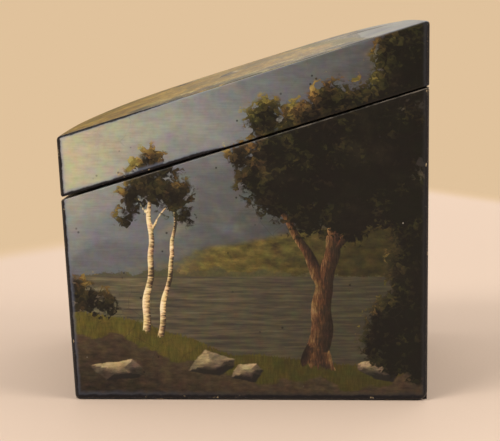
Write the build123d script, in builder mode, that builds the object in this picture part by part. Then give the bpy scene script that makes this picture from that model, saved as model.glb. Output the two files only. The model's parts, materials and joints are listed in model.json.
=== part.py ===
# A wedge-shaped wooden tea caddy: two lidded compartments under a sloping, crowned, hinged lid.
#
# Millimetres and degrees. X runs from the front to the back, Y from the right end to the left
# end as seen from the front, and Z up. The origin is the middle of the resting face.
# Every sloping cut is a "level", a pair (height at x = 0, rise per millimetre of x), and every
# upright line is a distance in from the front's or the back's outer face.

from build123d import *
import os
from math import atan2, cos, degrees, hypot, radians, sin, tan

os.makedirs("parts", exist_ok=True)

# Outside of the box
base_depth = 130.0            # front to back on the resting face
box_width = 190.0             # right end to left end
front_lean = 3.8              # the front leans out at the top
lid_slope = 17.2              # the lid rises towards the hinges
body_front_height = 73.8      # up to the body's front top edge
lid_front_height = 97.0       # up to the lid's front top edge
front_gap = 1.1               # opening of the seam at the front
back_gap = 0.6                # opening of the seam at the back
lid_top_slope = 17.5          # the lid's top rises a little more steeply than the seam
crown_height = 3.9            # how far the lid's top swells in the middle
crown_front_reach = 4.5       # the swelling starts this far in front of the front edge
edge_round = 2.0              # worn roundness of the outer edges

# Boards
wall = 9.0                    # front, back and end boards
corner_lap = 4.5              # what an end board keeps over the front and back boards
base_board_thickness = 7.0
lining = 3.0                  # lining boards inside the walls
lip_height = 5.0              # linings stand proud of the body and keep the lid in place
lip_clearance = 0.7           # lid rails to lip, which they pass as the lid swings
lip_seat = 0.05               # lid linings to the top of the lip
lid_panel_thickness = 7.0
ceiling_thickness = 1.5
partition_thickness = 5.0
housing_depth = 1.2           # grooves in the linings that hold the partition

# Compartments
inner_lid_drop = 6.0          # inner lids lie this far below the seam
inner_lid_thickness = 4.5
inner_lid_clearance = 0.4
inner_lid_seat = 0.1
inner_lid_bevel = 1.0
ledge_width = 3.5
ledge_height = 5.0
liner_thickness = 0.8
liner_clearance = 0.1
knob_height = 9.0
knob_radius = 4.6
knob_waist = 2.1
knob_foot_radius = 4.0
knob_foot_height = 1.3
knob_neck_length = 2.0
knob_crown_radius = 2.2
knob_button_radius = 1.4
knob_button_height = 0.5
knob_peg_radius = 1.8
knob_peg_length = 3.4
peg_clearance = 0.05

# Hinges
hinge_spread = 64.0           # between the middles of the two hinges
hinge_length = 26.0
hinge_leaf_depth = 8.0
hinge_leaf_thickness = 1.2
hinge_overhang = 0.6          # the pin's line lies this far behind the back
knuckle_radius = 1.9
knuckle_count = 5
knuckle_gap = 0.15
knuckle_clearance = 0.2
hinge_pin_radius = 0.85
hinge_pin_clearance = 0.05
lid_opening = 112.0           # where the two stop lugs meet
stop_lug_reach = 3.0
stop_lug_angle = 62.0         # the body's lug points this far below the horizontal
stop_lug_width = 22.0         # as an angle round the pin
stop_lug_slack = 0.5          # also an angle
stop_lug_length = 3.0
stop_lug_root = 0.4           # how deep a lug starts in its knuckle

# Screws
screw_head_radius = 2.0
screw_shank_radius = 1.0
screw_length = 7.5
screw_slot = 0.45
screw_clearance = 0.04
hinge_screw_spread = 16.0

# Lock
lock_width = 44.0
lock_height = 24.0
lock_depth = 6.0
lock_plate = 0.9
lock_cap_thickness = 0.8
selvedge_length = 64.0
selvedge_thickness = 1.6
lock_screw_spread = 54.0
bolt_clearance = 0.4          # bolt to cap
bolt_thickness = 1.9
bolt_bar_top = 7.4            # these are below the front's top edge
bolt_bar_height = 5.0
bolt_bar_length = 33.0
bolt_bar_offset = 2.5
finger_top = 2.8
finger_height = 2.0
finger_length = 4.7
finger_start = 2.3
neck_width = 2.0
talon_width = 3.2
talon_height = 2.2
guide_height = 1.6
guide_width = 5.0
guide_spread = 26.0
guide_clearance = 0.1
spring_strip = 0.4
spring_offset = 1.0           # from the neck of the finger beside it
spring_foot_length = 4.0
spring_reach = 7.0
spring_tip = 2.5
spring_clearance = 0.1
key_centre_drop = 16.5
drill_pin_radius = 1.2
drill_pin_stop = 1.0
ward_radius = 2.8
ward_thickness = 0.6
ward_height = 1.4
keyhole_radius = 1.7
keyhole_slot_width = 1.6
keyhole_slot_drop = 4.6
escutcheon_width = 12.0
escutcheon_height = 19.0
escutcheon_thickness = 0.8
escutcheon_pin_radius = 0.6
escutcheon_pin_head = 1.0
escutcheon_pin_length = 2.4
escutcheon_pin_spread = 14.6

# Link plate and its two hooks in the lid
hook_spread = 22.0
hook_leg_width = 2.2
hook_leg_start = 3.2
hook_toe_end = 1.6
hook_toe_drop = 7.0
hook_toe_height = 2.0
hook_thickness = 1.6
hook_clearance = 0.5
link_plate_length = 56.0
link_plate_thickness = 1.4
link_plate_depth = 6.3
link_plate_inset = 0.5        # in front of the front board's back face
link_screw_spread = 44.0

half_depth = base_depth / 2
half_width = box_width / 2
lean_rise = tan(radians(front_lean))


def level_from_front(height, angle):
    """Level that meets the front's outer face at a height and rises at an angle."""
    rise = tan(radians(angle))
    return (height + (half_depth + height * lean_rise) * rise, rise)


def shifted(level, distance):
    """Level moved square to itself, up for a positive distance."""
    height, rise = level
    return (height + distance * hypot(1, rise), rise)


def front_at(inset, level):
    """Point of a level on the line that lies an inset behind the front's outer face."""
    height, rise = level
    start = -half_depth + inset / cos(radians(front_lean))
    x = (start - lean_rise * height) / (1 + lean_rise * rise)
    return (x, height + rise * x)


def back_at(inset, level):
    """Point of a level on the line that lies an inset in front of the back's outer face."""
    height, rise = level
    x = half_depth - inset
    return (x, height + rise * x)


def band(lower, upper, front_inset, back_inset):
    """Side view of what lies between two levels and two insets."""
    return (
        front_at(front_inset, lower),
        back_at(back_inset, lower),
        back_at(back_inset, upper),
        front_at(front_inset, upper),
    )


def front_strip(lower, upper, near, far):
    """Side view of a strip along the front, between two insets and two levels."""
    return (front_at(near, lower), front_at(far, lower), front_at(far, upper), front_at(near, upper))


def back_strip(lower, upper, near, far):
    """Side view of a strip along the back, between two insets and two levels."""
    return (back_at(near, lower), back_at(far, lower), back_at(far, upper), back_at(near, upper))


def side_plane(y):
    """Plane of the side view at a place along the width; its normal points to the right end."""
    return Plane.XZ.offset(-y)


def upright(point, y, tilt):
    """Plane along the width through a side-view point, leaning to the front by a tilt."""
    x, z = point
    return Plane(origin=(x, y, z), x_dir=(0, 1, 0), z_dir=(cos(radians(tilt)), 0, sin(radians(tilt))))


# Levels, from the table up
floor_level = (0.0, 0.0)
base_top = (base_board_thickness, 0.0)
seam = level_from_front(body_front_height, lid_slope)
lip_top = shifted(seam, lip_height)
inner_lid_top = shifted(seam, -inner_lid_drop)
inner_lid_under = shifted(inner_lid_top, -inner_lid_thickness)
ledge_top = shifted(inner_lid_under, -inner_lid_seat)
ledge_under = shifted(ledge_top, -ledge_height)
lid_top = level_from_front(lid_front_height, lid_top_slope)
lid_panel_under = shifted(lid_top, -lid_panel_thickness)
ceiling_under = shifted(lid_panel_under, -ceiling_thickness)

# The lid's lower edge opens from the hinges to the front
lid_edge_front = front_at(0, level_from_front(body_front_height + front_gap, lid_slope))
lid_edge_back = (half_depth, back_at(0, seam)[1] + back_gap)
lid_edge_rise = (lid_edge_back[1] - lid_edge_front[1]) / (lid_edge_back[0] - lid_edge_front[0])
lid_under = (lid_edge_back[1] - lid_edge_rise * half_depth, lid_edge_rise)
lid_edge_angle = degrees(atan2(lid_edge_rise, 1))

# Lines across the width
lap_end = half_width - corner_lap
inner_wall_end = half_width - wall
inner_end = inner_wall_end - lining
lid_wall = wall - lip_clearance
lid_wall_end = half_width - lid_wall
lid_inner = lid_wall + lining
partition_side = partition_thickness / 2
inner = wall + lining

# The hinge's pin runs in the middle of the seam, just behind the back
hinge_x = half_depth + hinge_overhang
hinge_z = (seam[0] + seam[1] * hinge_x + lid_under[0] + lid_under[1] * hinge_x) / 2
hinge_point = (hinge_x, hinge_z)
hinge_bore_radius = knuckle_radius + knuckle_clearance
hinge_middles = (("right", -hinge_spread / 2), ("left", hinge_spread / 2))
knuckle_pitch = (hinge_length + knuckle_gap) / knuckle_count
knuckle_length = knuckle_pitch - knuckle_gap
ends = (("right", -1), ("left", 1))


def round_outside(board, side):
    """Round the outer edges of an end board, apart from the one along the seam."""
    outer = board.faces().sort_by(Axis.Y)[0 if side < 0 else -1]
    bottom = board.faces().sort_by(Axis.Z)[0]
    return outer.edges().sort_by(Axis.Z)[:-1] + bottom.edges().filter_by(Axis.Y)


# Body: base board, let into the foot of the four walls
with BuildPart() as base_board:
    with BuildSketch(side_plane(lap_end)):
        Polygon(*band(floor_level, base_top, corner_lap, corner_lap))
    extrude(amount=2 * lap_end)
base_board.part.label = "base_board"
export_step(base_board.part, "parts/base_board.step")

# Body: end boards, lapping over the front and back boards
for end_name, side in ends:
    with BuildPart() as end_board:
        with BuildSketch(side_plane(side * half_width)):
            Polygon(*band(floor_level, seam, 0, 0))
        extrude(amount=side * corner_lap)
        fillet(round_outside(end_board, side), radius=edge_round)
        with BuildSketch(side_plane(side * lap_end)):
            Polygon(*band(base_top, seam, wall, wall))
        extrude(amount=side * (wall - corner_lap))
    end_board.part.label = f"{end_name}_end_board"
    export_step(end_board.part, f"parts/{end_name}_end_board.step")

# Lock: where its parts lie in the front board
lock_face = upright(front_at(0, seam), 0, front_lean)
lock_front = wall - lock_depth
bolt_inset = wall - lock_cap_thickness - bolt_clearance - bolt_thickness
link_plate_back = wall - link_plate_inset
link_plate_front = link_plate_back - link_plate_depth
selvedge_under = shifted(seam, -selvedge_thickness)


def square_level(drop):
    """Level square to the front, a drop below the front's top edge."""
    x, z = front_at(0, seam)
    x += drop * sin(radians(front_lean))
    z -= drop * cos(radians(front_lean))
    return (z - lean_rise * x, lean_rise)


def along_front(point):
    """Height of a side-view point above the front's top edge, measured along the front."""
    x, z = front_at(0, seam)
    return (point[1] - z) * cos(radians(front_lean)) - (point[0] - x) * sin(radians(front_lean))


lock_under = square_level(lock_height)
link_plate_top = shifted(lid_under, link_plate_thickness)
hook_sides = (-hook_spread / 2, hook_spread / 2)
hook_point = front_at(bolt_inset + bolt_thickness / 2, square_level(hook_toe_drop))
hook_tilt = degrees(atan2(hinge_z - hook_point[1], hinge_x - hook_point[0]))
hook_plane = upright(hook_point, 0, hook_tilt)


def hook_reach(level):
    """Distance from the foot of a hook up to a level, along the hook."""
    height, rise = level
    x, z = hook_point
    return (height + rise * x - z) / (cos(radians(hook_tilt)) + rise * sin(radians(hook_tilt)))


def leaf_side(level, toward):
    """Side view of a hinge leaf let in below or above a level."""
    other = shifted(level, toward * hinge_leaf_thickness)
    return back_strip(level, other, hinge_leaf_depth, -hinge_overhang)


def screw_profile():
    """Half section of a countersunk screw that points down from the origin."""
    return (
        (0, 0),
        (screw_head_radius, 0),
        (screw_shank_radius, -hinge_leaf_thickness),
        (screw_shank_radius, -screw_length + screw_shank_radius),
        (0, -screw_length),
    )


def screw_hole_profile():
    """Half section of the hole that takes a countersunk screw."""
    wide = screw_clearance
    return (
        (0, 0),
        (screw_head_radius + wide, 0),
        (screw_shank_radius + wide, -hinge_leaf_thickness),
        (screw_shank_radius + wide, -screw_length + screw_shank_radius),
        (0, -screw_length - wide),
    )


def screw_seat(point, y, tilt, upward):
    """Plane of a screw's half section, its local up pointing out of the head."""
    seat = upright(point, y, tilt)
    return Plane(origin=seat.origin, x_dir=seat.x_dir, z_dir=-seat.z_dir) if upward else seat


def cut_screw_holes(seats):
    """Cut the holes of a row of screws from the part in hand."""
    for seat in seats:
        with BuildSketch(seat) as section:
            Polygon(*screw_hole_profile())
        revolve(section.sketch, axis=Axis(seat.origin, seat.y_dir), mode=Mode.SUBTRACT)


def add_screws(seats):
    """Turn a row of slotted screws."""
    for seat in seats:
        with BuildSketch(seat) as section:
            Polygon(*screw_profile())
        revolve(section.sketch, axis=Axis(seat.origin, seat.y_dir))
        with BuildSketch(seat) as slot:
            Rectangle(2.2 * screw_head_radius, screw_slot)
        extrude(slot.sketch, amount=screw_slot / 2, both=True, mode=Mode.SUBTRACT)


def hinge_screw_seats(level, tilt, upward):
    """Seats of the screws of both hinges' leaves on one side of the seam."""
    point = back_at(hinge_leaf_depth / 2 + hinge_overhang, level)
    return [
        screw_seat(point, middle + offset, tilt, upward)
        for _, middle in hinge_middles
        for offset in (-hinge_screw_spread / 2, hinge_screw_spread / 2)
    ]


body_hinge_seats = hinge_screw_seats(seam, lid_slope, False)
lid_hinge_seats = hinge_screw_seats(lid_under, lid_edge_angle, True)
lock_screw_point = front_at(wall - lock_depth / 2, seam)
lock_seats = [
    screw_seat(lock_screw_point, y, lid_slope, False)
    for y in (-lock_screw_spread / 2, lock_screw_spread / 2)
]
link_screw_point = front_at((link_plate_front + link_plate_back) / 2, lid_under)
link_seats = [
    screw_seat(link_screw_point, y, lid_edge_angle, True)
    for y in (-link_screw_spread / 2, link_screw_spread / 2)
]


def keyhole(plane, depth):
    """Cut a keyhole through the part in hand, from a plane along the lock towards the back."""
    with BuildSketch(plane) as hole:
        with Locations((0, -key_centre_drop)):
            Circle(keyhole_radius)
        with Locations((0, -key_centre_drop - keyhole_slot_drop / 2)):
            Rectangle(keyhole_slot_width, keyhole_slot_drop)
    extrude(hole.sketch, amount=depth, mode=Mode.SUBTRACT)


def escutcheon_pins(plane, radius, depth):
    """Sketch and cut the two small holes for the escutcheon's pins."""
    with BuildSketch(plane) as holes:
        with Locations(
            (0, -key_centre_drop - escutcheon_pin_spread / 2),
            (0, -key_centre_drop + escutcheon_pin_spread / 2),
        ):
            Circle(radius)
    extrude(holes.sketch, amount=depth, mode=Mode.SUBTRACT)


# Body: front board, with a mortise for the lock and a keyhole
with BuildPart() as front_board:
    with BuildSketch(side_plane(lap_end)):
        Polygon(
            front_at(0, floor_level),
            front_at(corner_lap, floor_level),
            front_at(corner_lap, base_top),
            front_at(wall, base_top),
            front_at(wall, seam),
            front_at(0, seam)
        )
    extrude(amount=2 * lap_end)
    fillet(front_board.edges().filter_by(Axis.Y).group_by(Axis.Z)[0].sort_by(Axis.X)[0], radius=edge_round)
    with BuildSketch(side_plane(lock_width / 2)):
        Polygon(*front_strip(lock_under, seam, lock_front, wall))
    extrude(amount=lock_width, mode=Mode.SUBTRACT)
    with BuildSketch(side_plane(selvedge_length / 2)):
        Polygon(*front_strip(selvedge_under, seam, lock_front, wall))
    extrude(amount=selvedge_length, mode=Mode.SUBTRACT)
    cut_screw_holes(lock_seats)
    keyhole(lock_face, lock_front)
    escutcheon_pins(lock_face, escutcheon_pin_radius + screw_clearance, escutcheon_pin_length)
front_board.part.label = "front_board"
export_step(front_board.part, "parts/front_board.step")

# Body: back board, with recesses for the hinges
with BuildPart() as back_board:
    with BuildSketch(side_plane(lap_end)):
        Polygon(
            back_at(0, floor_level),
            back_at(corner_lap, floor_level),
            back_at(corner_lap, base_top),
            back_at(wall, base_top),
            back_at(wall, seam),
            back_at(0, seam)
        )
    extrude(amount=2 * lap_end)
    fillet(back_board.edges().filter_by(Axis.Y).group_by(Axis.Z)[0].sort_by(Axis.X)[-1], radius=edge_round)
    for _, middle in hinge_middles:
        with BuildSketch(side_plane(middle + hinge_length / 2)):
            Polygon(*leaf_side(seam, -1))
            with Locations(hinge_point):
                Circle(hinge_bore_radius)
        extrude(amount=hinge_length, mode=Mode.SUBTRACT)
    cut_screw_holes(body_hinge_seats)
back_board.part.label = "back_board"
export_step(back_board.part, "parts/back_board.step")

# Body: linings. Their tops stand proud of the seam as the lip that the lid closes over.
for end_name, side in ends:
    with BuildPart() as end_lining:
        with BuildSketch(side_plane(side * inner_wall_end)):
            Polygon(*band(base_top, lip_top, wall, wall))
        extrude(amount=side * lining)
    end_lining.part.label = f"{end_name}_lining"
    export_step(end_lining.part, f"parts/{end_name}_lining.step")

with BuildPart() as front_lining:
    with BuildSketch(side_plane(inner_end)):
        Polygon(*front_strip(base_top, lip_top, wall, inner))
    extrude(amount=2 * inner_end)
    with BuildSketch(side_plane(partition_side)):
        Polygon(*front_strip(base_top, inner_lid_top, inner - housing_depth, inner))
    extrude(amount=partition_thickness, mode=Mode.SUBTRACT)
front_lining.part.label = "front_lining"
export_step(front_lining.part, "parts/front_lining.step")

with BuildPart() as back_lining:
    with BuildSketch(side_plane(inner_end)):
        Polygon(*back_strip(base_top, lip_top, wall, inner))
    extrude(amount=2 * inner_end)
    with BuildSketch(side_plane(partition_side)):
        Polygon(*back_strip(base_top, inner_lid_top, inner - housing_depth, inner))
    extrude(amount=partition_thickness, mode=Mode.SUBTRACT)
back_lining.part.label = "back_lining"
export_step(back_lining.part, "parts/back_lining.step")

# Body: the partition between the compartments, housed in the linings
with BuildPart() as partition:
    with BuildSketch(side_plane(partition_side)):
        Polygon(
            *band(base_top, inner_lid_top, inner - housing_depth, inner - housing_depth)
        )
    extrude(amount=partition_thickness)
partition.part.label = "partition"
export_step(partition.part, "parts/partition.step")

# Compartments: ledges, thin metal liners, and loose inner lids with turned knobs
compartments = (
    ("right", -inner_end, -partition_side),
    ("left", partition_side, inner_end),
)

with BuildPart() as inner_lid_ledges:
    for _, low, high in compartments:
        for strip in (front_strip, back_strip):
            with BuildSketch(side_plane(high)):
                Polygon(*strip(ledge_under, ledge_top, inner, inner + ledge_width))
            extrude(amount=high - low)
inner_lid_ledges.part.label = "inner_lid_ledges"
export_step(inner_lid_ledges.part, "parts/inner_lid_ledges.step")

for end_name, low, high in compartments:
    liner_top = shifted(ledge_under, -liner_clearance)
    liner_floor = shifted(base_top, liner_thickness)
    outside = inner + liner_clearance
    inside = outside + liner_thickness
    with BuildPart() as tea_liner:
        with BuildSketch(side_plane(high - liner_clearance)):
            Polygon(*band(base_top, liner_top, outside, outside))
        extrude(amount=high - low - 2 * liner_clearance)
        with BuildSketch(side_plane(high - liner_clearance - liner_thickness)):
            Polygon(*band(liner_floor, shifted(liner_top, liner_thickness), inside, inside))
        extrude(amount=high - low - 2 * (liner_clearance + liner_thickness), mode=Mode.SUBTRACT)
    tea_liner.part.label = f"{end_name}_tea_liner"
    export_step(tea_liner.part, f"parts/{end_name}_tea_liner.step")

    gap = inner_lid_clearance
    front_edge = front_at(inner + gap, inner_lid_top)
    back_edge = back_at(inner + gap, inner_lid_top)
    knob_point = ((front_edge[0] + back_edge[0]) / 2, (front_edge[1] + back_edge[1]) / 2)
    knob_seat = upright(knob_point, (low + high) / 2, lid_slope)
    knob_axis = Axis(knob_seat.origin, knob_seat.y_dir)
    with BuildPart() as inner_lid:
        with BuildSketch(side_plane(high - gap)):
            Polygon(*band(inner_lid_under, inner_lid_top, inner + gap, inner + gap))
        extrude(amount=high - low - 2 * gap)
        chamfer(inner_lid.faces().sort_by(Axis.Z)[-1].edges(), length=inner_lid_bevel)
        with BuildSketch(knob_seat) as peg_hole:
            Polygon(
                (0, 1),
                (knob_peg_radius + peg_clearance, 1),
                (knob_peg_radius + peg_clearance, -knob_peg_length),
                (0, -knob_peg_length)
            )
        revolve(peg_hole.sketch, axis=knob_axis, mode=Mode.SUBTRACT)
    inner_lid.part.label = f"{end_name}_inner_lid"
    export_step(inner_lid.part, f"parts/{end_name}_inner_lid.step")

    peg_end = -knob_peg_length + peg_clearance
    neck_height = knob_foot_height + knob_neck_length
    with BuildPart() as inner_lid_knob:
        with BuildSketch(knob_seat) as section:
            with BuildLine():
                Polyline(
                    (0, peg_end),
                    (knob_peg_radius, peg_end),
                    (knob_peg_radius, 0),
                    (knob_foot_radius, 0),
                    (knob_foot_radius, knob_foot_height),
                )
                ThreePointArc(
                    (knob_foot_radius, knob_foot_height),
                    (knob_waist + (knob_foot_radius - knob_waist) / 5, knob_foot_height + knob_neck_length / 3),
                    (knob_waist, neck_height),
                )
                ThreePointArc(
                    (knob_waist, neck_height),
                    (knob_radius, (neck_height + knob_height) / 2),
                    (knob_crown_radius, knob_height - knob_button_height),
                )
                Polyline(
                    (knob_crown_radius, knob_height - knob_button_height),
                    (knob_button_radius, knob_height - knob_button_height),
                    (knob_button_radius - knob_button_height, knob_height),
                    (0, knob_height),
                    (0, peg_end),
                )
            make_face()
        revolve(section.sketch, axis=knob_axis)
    inner_lid_knob.part.label = f"{end_name}_inner_lid_knob"
    export_step(inner_lid_knob.part, f"parts/{end_name}_inner_lid_knob.step")

# Lock: case, open at the back and at the top
with BuildPart() as lock_case:
    with BuildSketch(side_plane(lock_width / 2)):
        Polygon(*front_strip(lock_under, selvedge_under, lock_front, wall - lock_cap_thickness))
    extrude(amount=lock_width)
    case_floor = square_level(lock_height - lock_plate)
    with BuildSketch(side_plane(lock_width / 2 - lock_plate)):
        Polygon(*front_strip(case_floor, seam, lock_front + lock_plate, wall))
    extrude(amount=lock_width - 2 * lock_plate, mode=Mode.SUBTRACT)
    guide_top = square_level(bolt_bar_top + bolt_bar_height + guide_clearance)
    guide_under = square_level(bolt_bar_top + bolt_bar_height + guide_clearance + guide_height)
    for y in (-guide_spread / 2, guide_spread / 2):
        with BuildSketch(side_plane(y + guide_width / 2)):
            Polygon(
                *front_strip(guide_under, guide_top, lock_front + lock_plate, wall - lock_cap_thickness)
            )
        extrude(amount=guide_width)
    keyhole(lock_face.offset(lock_front), lock_plate)
lock_case.part.label = "lock_case"
export_step(lock_case.part, "parts/lock_case.step")

# Lock: cap that closes the case towards the lining
with BuildPart() as lock_cap:
    with BuildSketch(side_plane(lock_width / 2)):
        Polygon(*front_strip(lock_under, selvedge_under, wall - lock_cap_thickness, wall))
    extrude(amount=lock_width)
lock_cap.part.label = "lock_cap"
export_step(lock_cap.part, "parts/lock_cap.step")

# Lock: selvedge, flush with the body's top edge, with a slot for each hook
with BuildPart() as lock_selvedge:
    with BuildSketch(side_plane(selvedge_length / 2)):
        Polygon(*front_strip(selvedge_under, seam, lock_front, wall))
    extrude(amount=selvedge_length)
    cut_screw_holes(lock_seats)
    for y in hook_sides:
        with BuildSketch(hook_plane) as passage:
            with Locations((y + (hook_toe_end - hook_leg_start) / 2, hook_reach(seam))):
                Rectangle(hook_toe_end + hook_leg_start + 2 * hook_clearance, 4 * selvedge_thickness)
        extrude(passage.sketch, amount=hook_thickness / 2 + hook_clearance, both=True, mode=Mode.SUBTRACT)
lock_selvedge.part.label = "lock_selvedge"
export_step(lock_selvedge.part, "parts/lock_selvedge.step")

# Lock: bolt with two fingers that slide over the toes of the hooks, shown drawn back
with BuildPart() as lock_bolt:
    with BuildSketch(lock_face.offset(bolt_inset)) as outline:
        with Locations((bolt_bar_offset, -bolt_bar_top - bolt_bar_height / 2)):
            Rectangle(bolt_bar_length, bolt_bar_height)
        for y in hook_sides:
            finger_end = y + finger_start + finger_length
            with Locations((finger_end - finger_length / 2, -finger_top - finger_height / 2)):
                Rectangle(finger_length, finger_height)
            with Locations((finger_end - neck_width / 2, -(finger_top + bolt_bar_top + 1) / 2)):
                Rectangle(neck_width, bolt_bar_top + 1 - finger_top)
        with Locations((0, -bolt_bar_top - bolt_bar_height + talon_height / 2)):
            Rectangle(talon_width, talon_height, mode=Mode.SUBTRACT)
    extrude(amount=bolt_thickness)
lock_bolt.part.label = "lock_bolt"
export_step(lock_bolt.part, "parts/lock_bolt.step")

# Lock: spring strip on the bolt, bearing up against the selvedge
spring_foot = -hook_spread / 2 + finger_start + finger_length + spring_offset
spring_crest = along_front(front_at(bolt_inset, selvedge_under)) - spring_clearance
with BuildPart() as bolt_spring:
    with BuildSketch(lock_face.offset(bolt_inset)):
        with BuildLine():
            Polyline(
                (spring_foot, -bolt_bar_top),
                (spring_foot + spring_foot_length, -bolt_bar_top),
                (spring_foot + spring_foot_length, -bolt_bar_top + spring_strip),
                (spring_foot + 3 * spring_strip, -bolt_bar_top + spring_strip),
                (spring_foot + spring_reach, spring_crest - spring_strip),
                (spring_foot + spring_reach + spring_tip, spring_crest - spring_strip - spring_tip / 2),
                (spring_foot + spring_reach + spring_tip, spring_crest - spring_tip / 2),
                (spring_foot + spring_reach, spring_crest),
                (spring_foot, -bolt_bar_top + spring_strip),
                close=True,
            )
        make_face()
    extrude(amount=bolt_thickness)
bolt_spring.part.label = "bolt_spring"
export_step(bolt_spring.part, "parts/bolt_spring.step")

# Lock: drill pin that guides the key, and a ring ward, both on the cap
with BuildPart() as lock_drill_pin:
    with BuildSketch(lock_face.offset(lock_front + drill_pin_stop)):
        with Locations((0, -key_centre_drop)):
            Circle(drill_pin_radius)
    extrude(amount=lock_depth - lock_cap_thickness - drill_pin_stop)
lock_drill_pin.part.label = "lock_drill_pin"
export_step(lock_drill_pin.part, "parts/lock_drill_pin.step")

with BuildPart() as lock_ward:
    with BuildSketch(lock_face.offset(wall - lock_cap_thickness)):
        with Locations((0, -key_centre_drop)):
            Circle(ward_radius + ward_thickness)
            Circle(ward_radius, mode=Mode.SUBTRACT)
        with Locations((0, -key_centre_drop - ward_radius)):
            Rectangle(2 * keyhole_slot_width, 2 * ward_radius, mode=Mode.SUBTRACT)
    extrude(amount=-ward_height)
lock_ward.part.label = "lock_ward"
export_step(lock_ward.part, "parts/lock_ward.step")

with BuildPart() as lock_screws:
    add_screws(lock_seats)
lock_screws.part.label = "lock_screws"
export_step(lock_screws.part, "parts/lock_screws.step")

# Escutcheon on the front, held by two round-headed pins
with BuildPart() as escutcheon:
    with BuildSketch(lock_face) as plate:
        with Locations((0, -key_centre_drop)):
            Ellipse(escutcheon_width / 2, escutcheon_height / 2)
    extrude(amount=-escutcheon_thickness)
    keyhole(lock_face.offset(-escutcheon_thickness), escutcheon_thickness)
    escutcheon_pins(
        lock_face.offset(-escutcheon_thickness),
        escutcheon_pin_radius + screw_clearance,
        escutcheon_thickness,
    )
escutcheon.part.label = "escutcheon"
export_step(escutcheon.part, "parts/escutcheon.step")

with BuildPart() as escutcheon_pin_pair:
    for drop in (key_centre_drop - escutcheon_pin_spread / 2, key_centre_drop + escutcheon_pin_spread / 2):
        seat = lock_face.offset(-escutcheon_thickness)
        with BuildSketch(seat):
            with Locations((0, -drop)):
                Circle(escutcheon_pin_radius)
        extrude(amount=escutcheon_pin_length)
        with BuildSketch(seat):
            with Locations((0, -drop)):
                Circle(escutcheon_pin_head)
        extrude(amount=-escutcheon_pin_radius, taper=25)
escutcheon_pin_pair.part.label = "escutcheon_pins"
export_step(escutcheon_pin_pair.part, "parts/escutcheon_pins.step")


def knuckle_ring(first, start, stop, radius, mode):
    """Add or cut a stretch of round bar on the hinge's line, between two places of its width."""
    with BuildSketch(side_plane(first + stop)) as ring:
        with Locations(hinge_point):
            Circle(radius)
    extrude(ring.sketch, amount=stop - start, mode=mode)


def lug(angle, y_low, y_high, inner_radius):
    """Add a stop lug that stands out from the knuckles at an angle above the horizontal."""
    corners = [
        (hinge_x + radius * cos(radians(turn)), hinge_z + radius * sin(radians(turn)))
        for radius, turn in (
            (inner_radius, angle - stop_lug_width / 2),
            (stop_lug_reach, angle - stop_lug_width / 2),
            (stop_lug_reach, angle + stop_lug_width / 2),
            (inner_radius, angle + stop_lug_width / 2),
        )
    ]
    with BuildSketch(side_plane(y_high)) as section:
        Polygon(*corners)
    extrude(section.sketch, amount=y_high - y_low)


# Hinges: each leaf carries every other knuckle, and a lug that stops the lid when it is open
for end_name, middle in hinge_middles:
    first = middle - hinge_length / 2
    for leaf_name, level, toward, own in (("body", seam, -1, 0), ("lid", lid_under, 1, 1)):
        with BuildPart() as hinge_leaf:
            with BuildSketch(side_plane(middle + hinge_length / 2)):
                Polygon(*leaf_side(level, toward))
            extrude(amount=hinge_length)
            for index in range(knuckle_count):
                start = index * knuckle_pitch
                stop = start + knuckle_length
                if index % 2 == own:
                    knuckle_ring(first, start, stop, knuckle_radius, Mode.ADD)
                else:
                    knuckle_ring(
                        first, start - knuckle_gap, stop + knuckle_gap, hinge_bore_radius, Mode.SUBTRACT
                    )
            lug_start = first + hinge_length / 2 - stop_lug_length / 2
            if toward < 0:
                lug(-stop_lug_angle, lug_start, lug_start + stop_lug_length, knuckle_radius - stop_lug_root)
            else:
                lid_lug_angle = lid_opening + stop_lug_slack + stop_lug_width - stop_lug_angle
                own_start = first + knuckle_pitch
                own_stop = own_start + knuckle_length
                lug(lid_lug_angle, own_start, own_stop, knuckle_radius - stop_lug_root)
                lug(lid_lug_angle, own_start, lug_start + stop_lug_length, knuckle_radius + knuckle_gap)
            knuckle_ring(first, 0, hinge_length, hinge_pin_radius + hinge_pin_clearance, Mode.SUBTRACT)
            cut_screw_holes(
                seat
                for seat in (body_hinge_seats if toward < 0 else lid_hinge_seats)
                if abs(seat.origin.Y - middle) < hinge_length / 2
            )
        hinge_leaf.part.label = f"{end_name}_hinge_{leaf_name}_leaf"
        export_step(hinge_leaf.part, f"parts/{end_name}_hinge_{leaf_name}_leaf.step")

    with BuildPart() as hinge_pin:
        with BuildSketch(side_plane(middle + hinge_length / 2)):
            with Locations(hinge_point):
                Circle(hinge_pin_radius)
        extrude(amount=hinge_length)
    hinge_pin.part.label = f"{end_name}_hinge_pin"
    export_step(hinge_pin.part, f"parts/{end_name}_hinge_pin.step")

with BuildPart() as hinge_body_screws:
    add_screws(body_hinge_seats)
hinge_body_screws.part.label = "hinge_body_screws"
export_step(hinge_body_screws.part, "parts/hinge_body_screws.step")

with BuildPart() as hinge_lid_screws:
    add_screws(lid_hinge_seats)
hinge_lid_screws.part.label = "hinge_lid_screws"
export_step(hinge_lid_screws.part, "parts/hinge_lid_screws.step")

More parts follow.
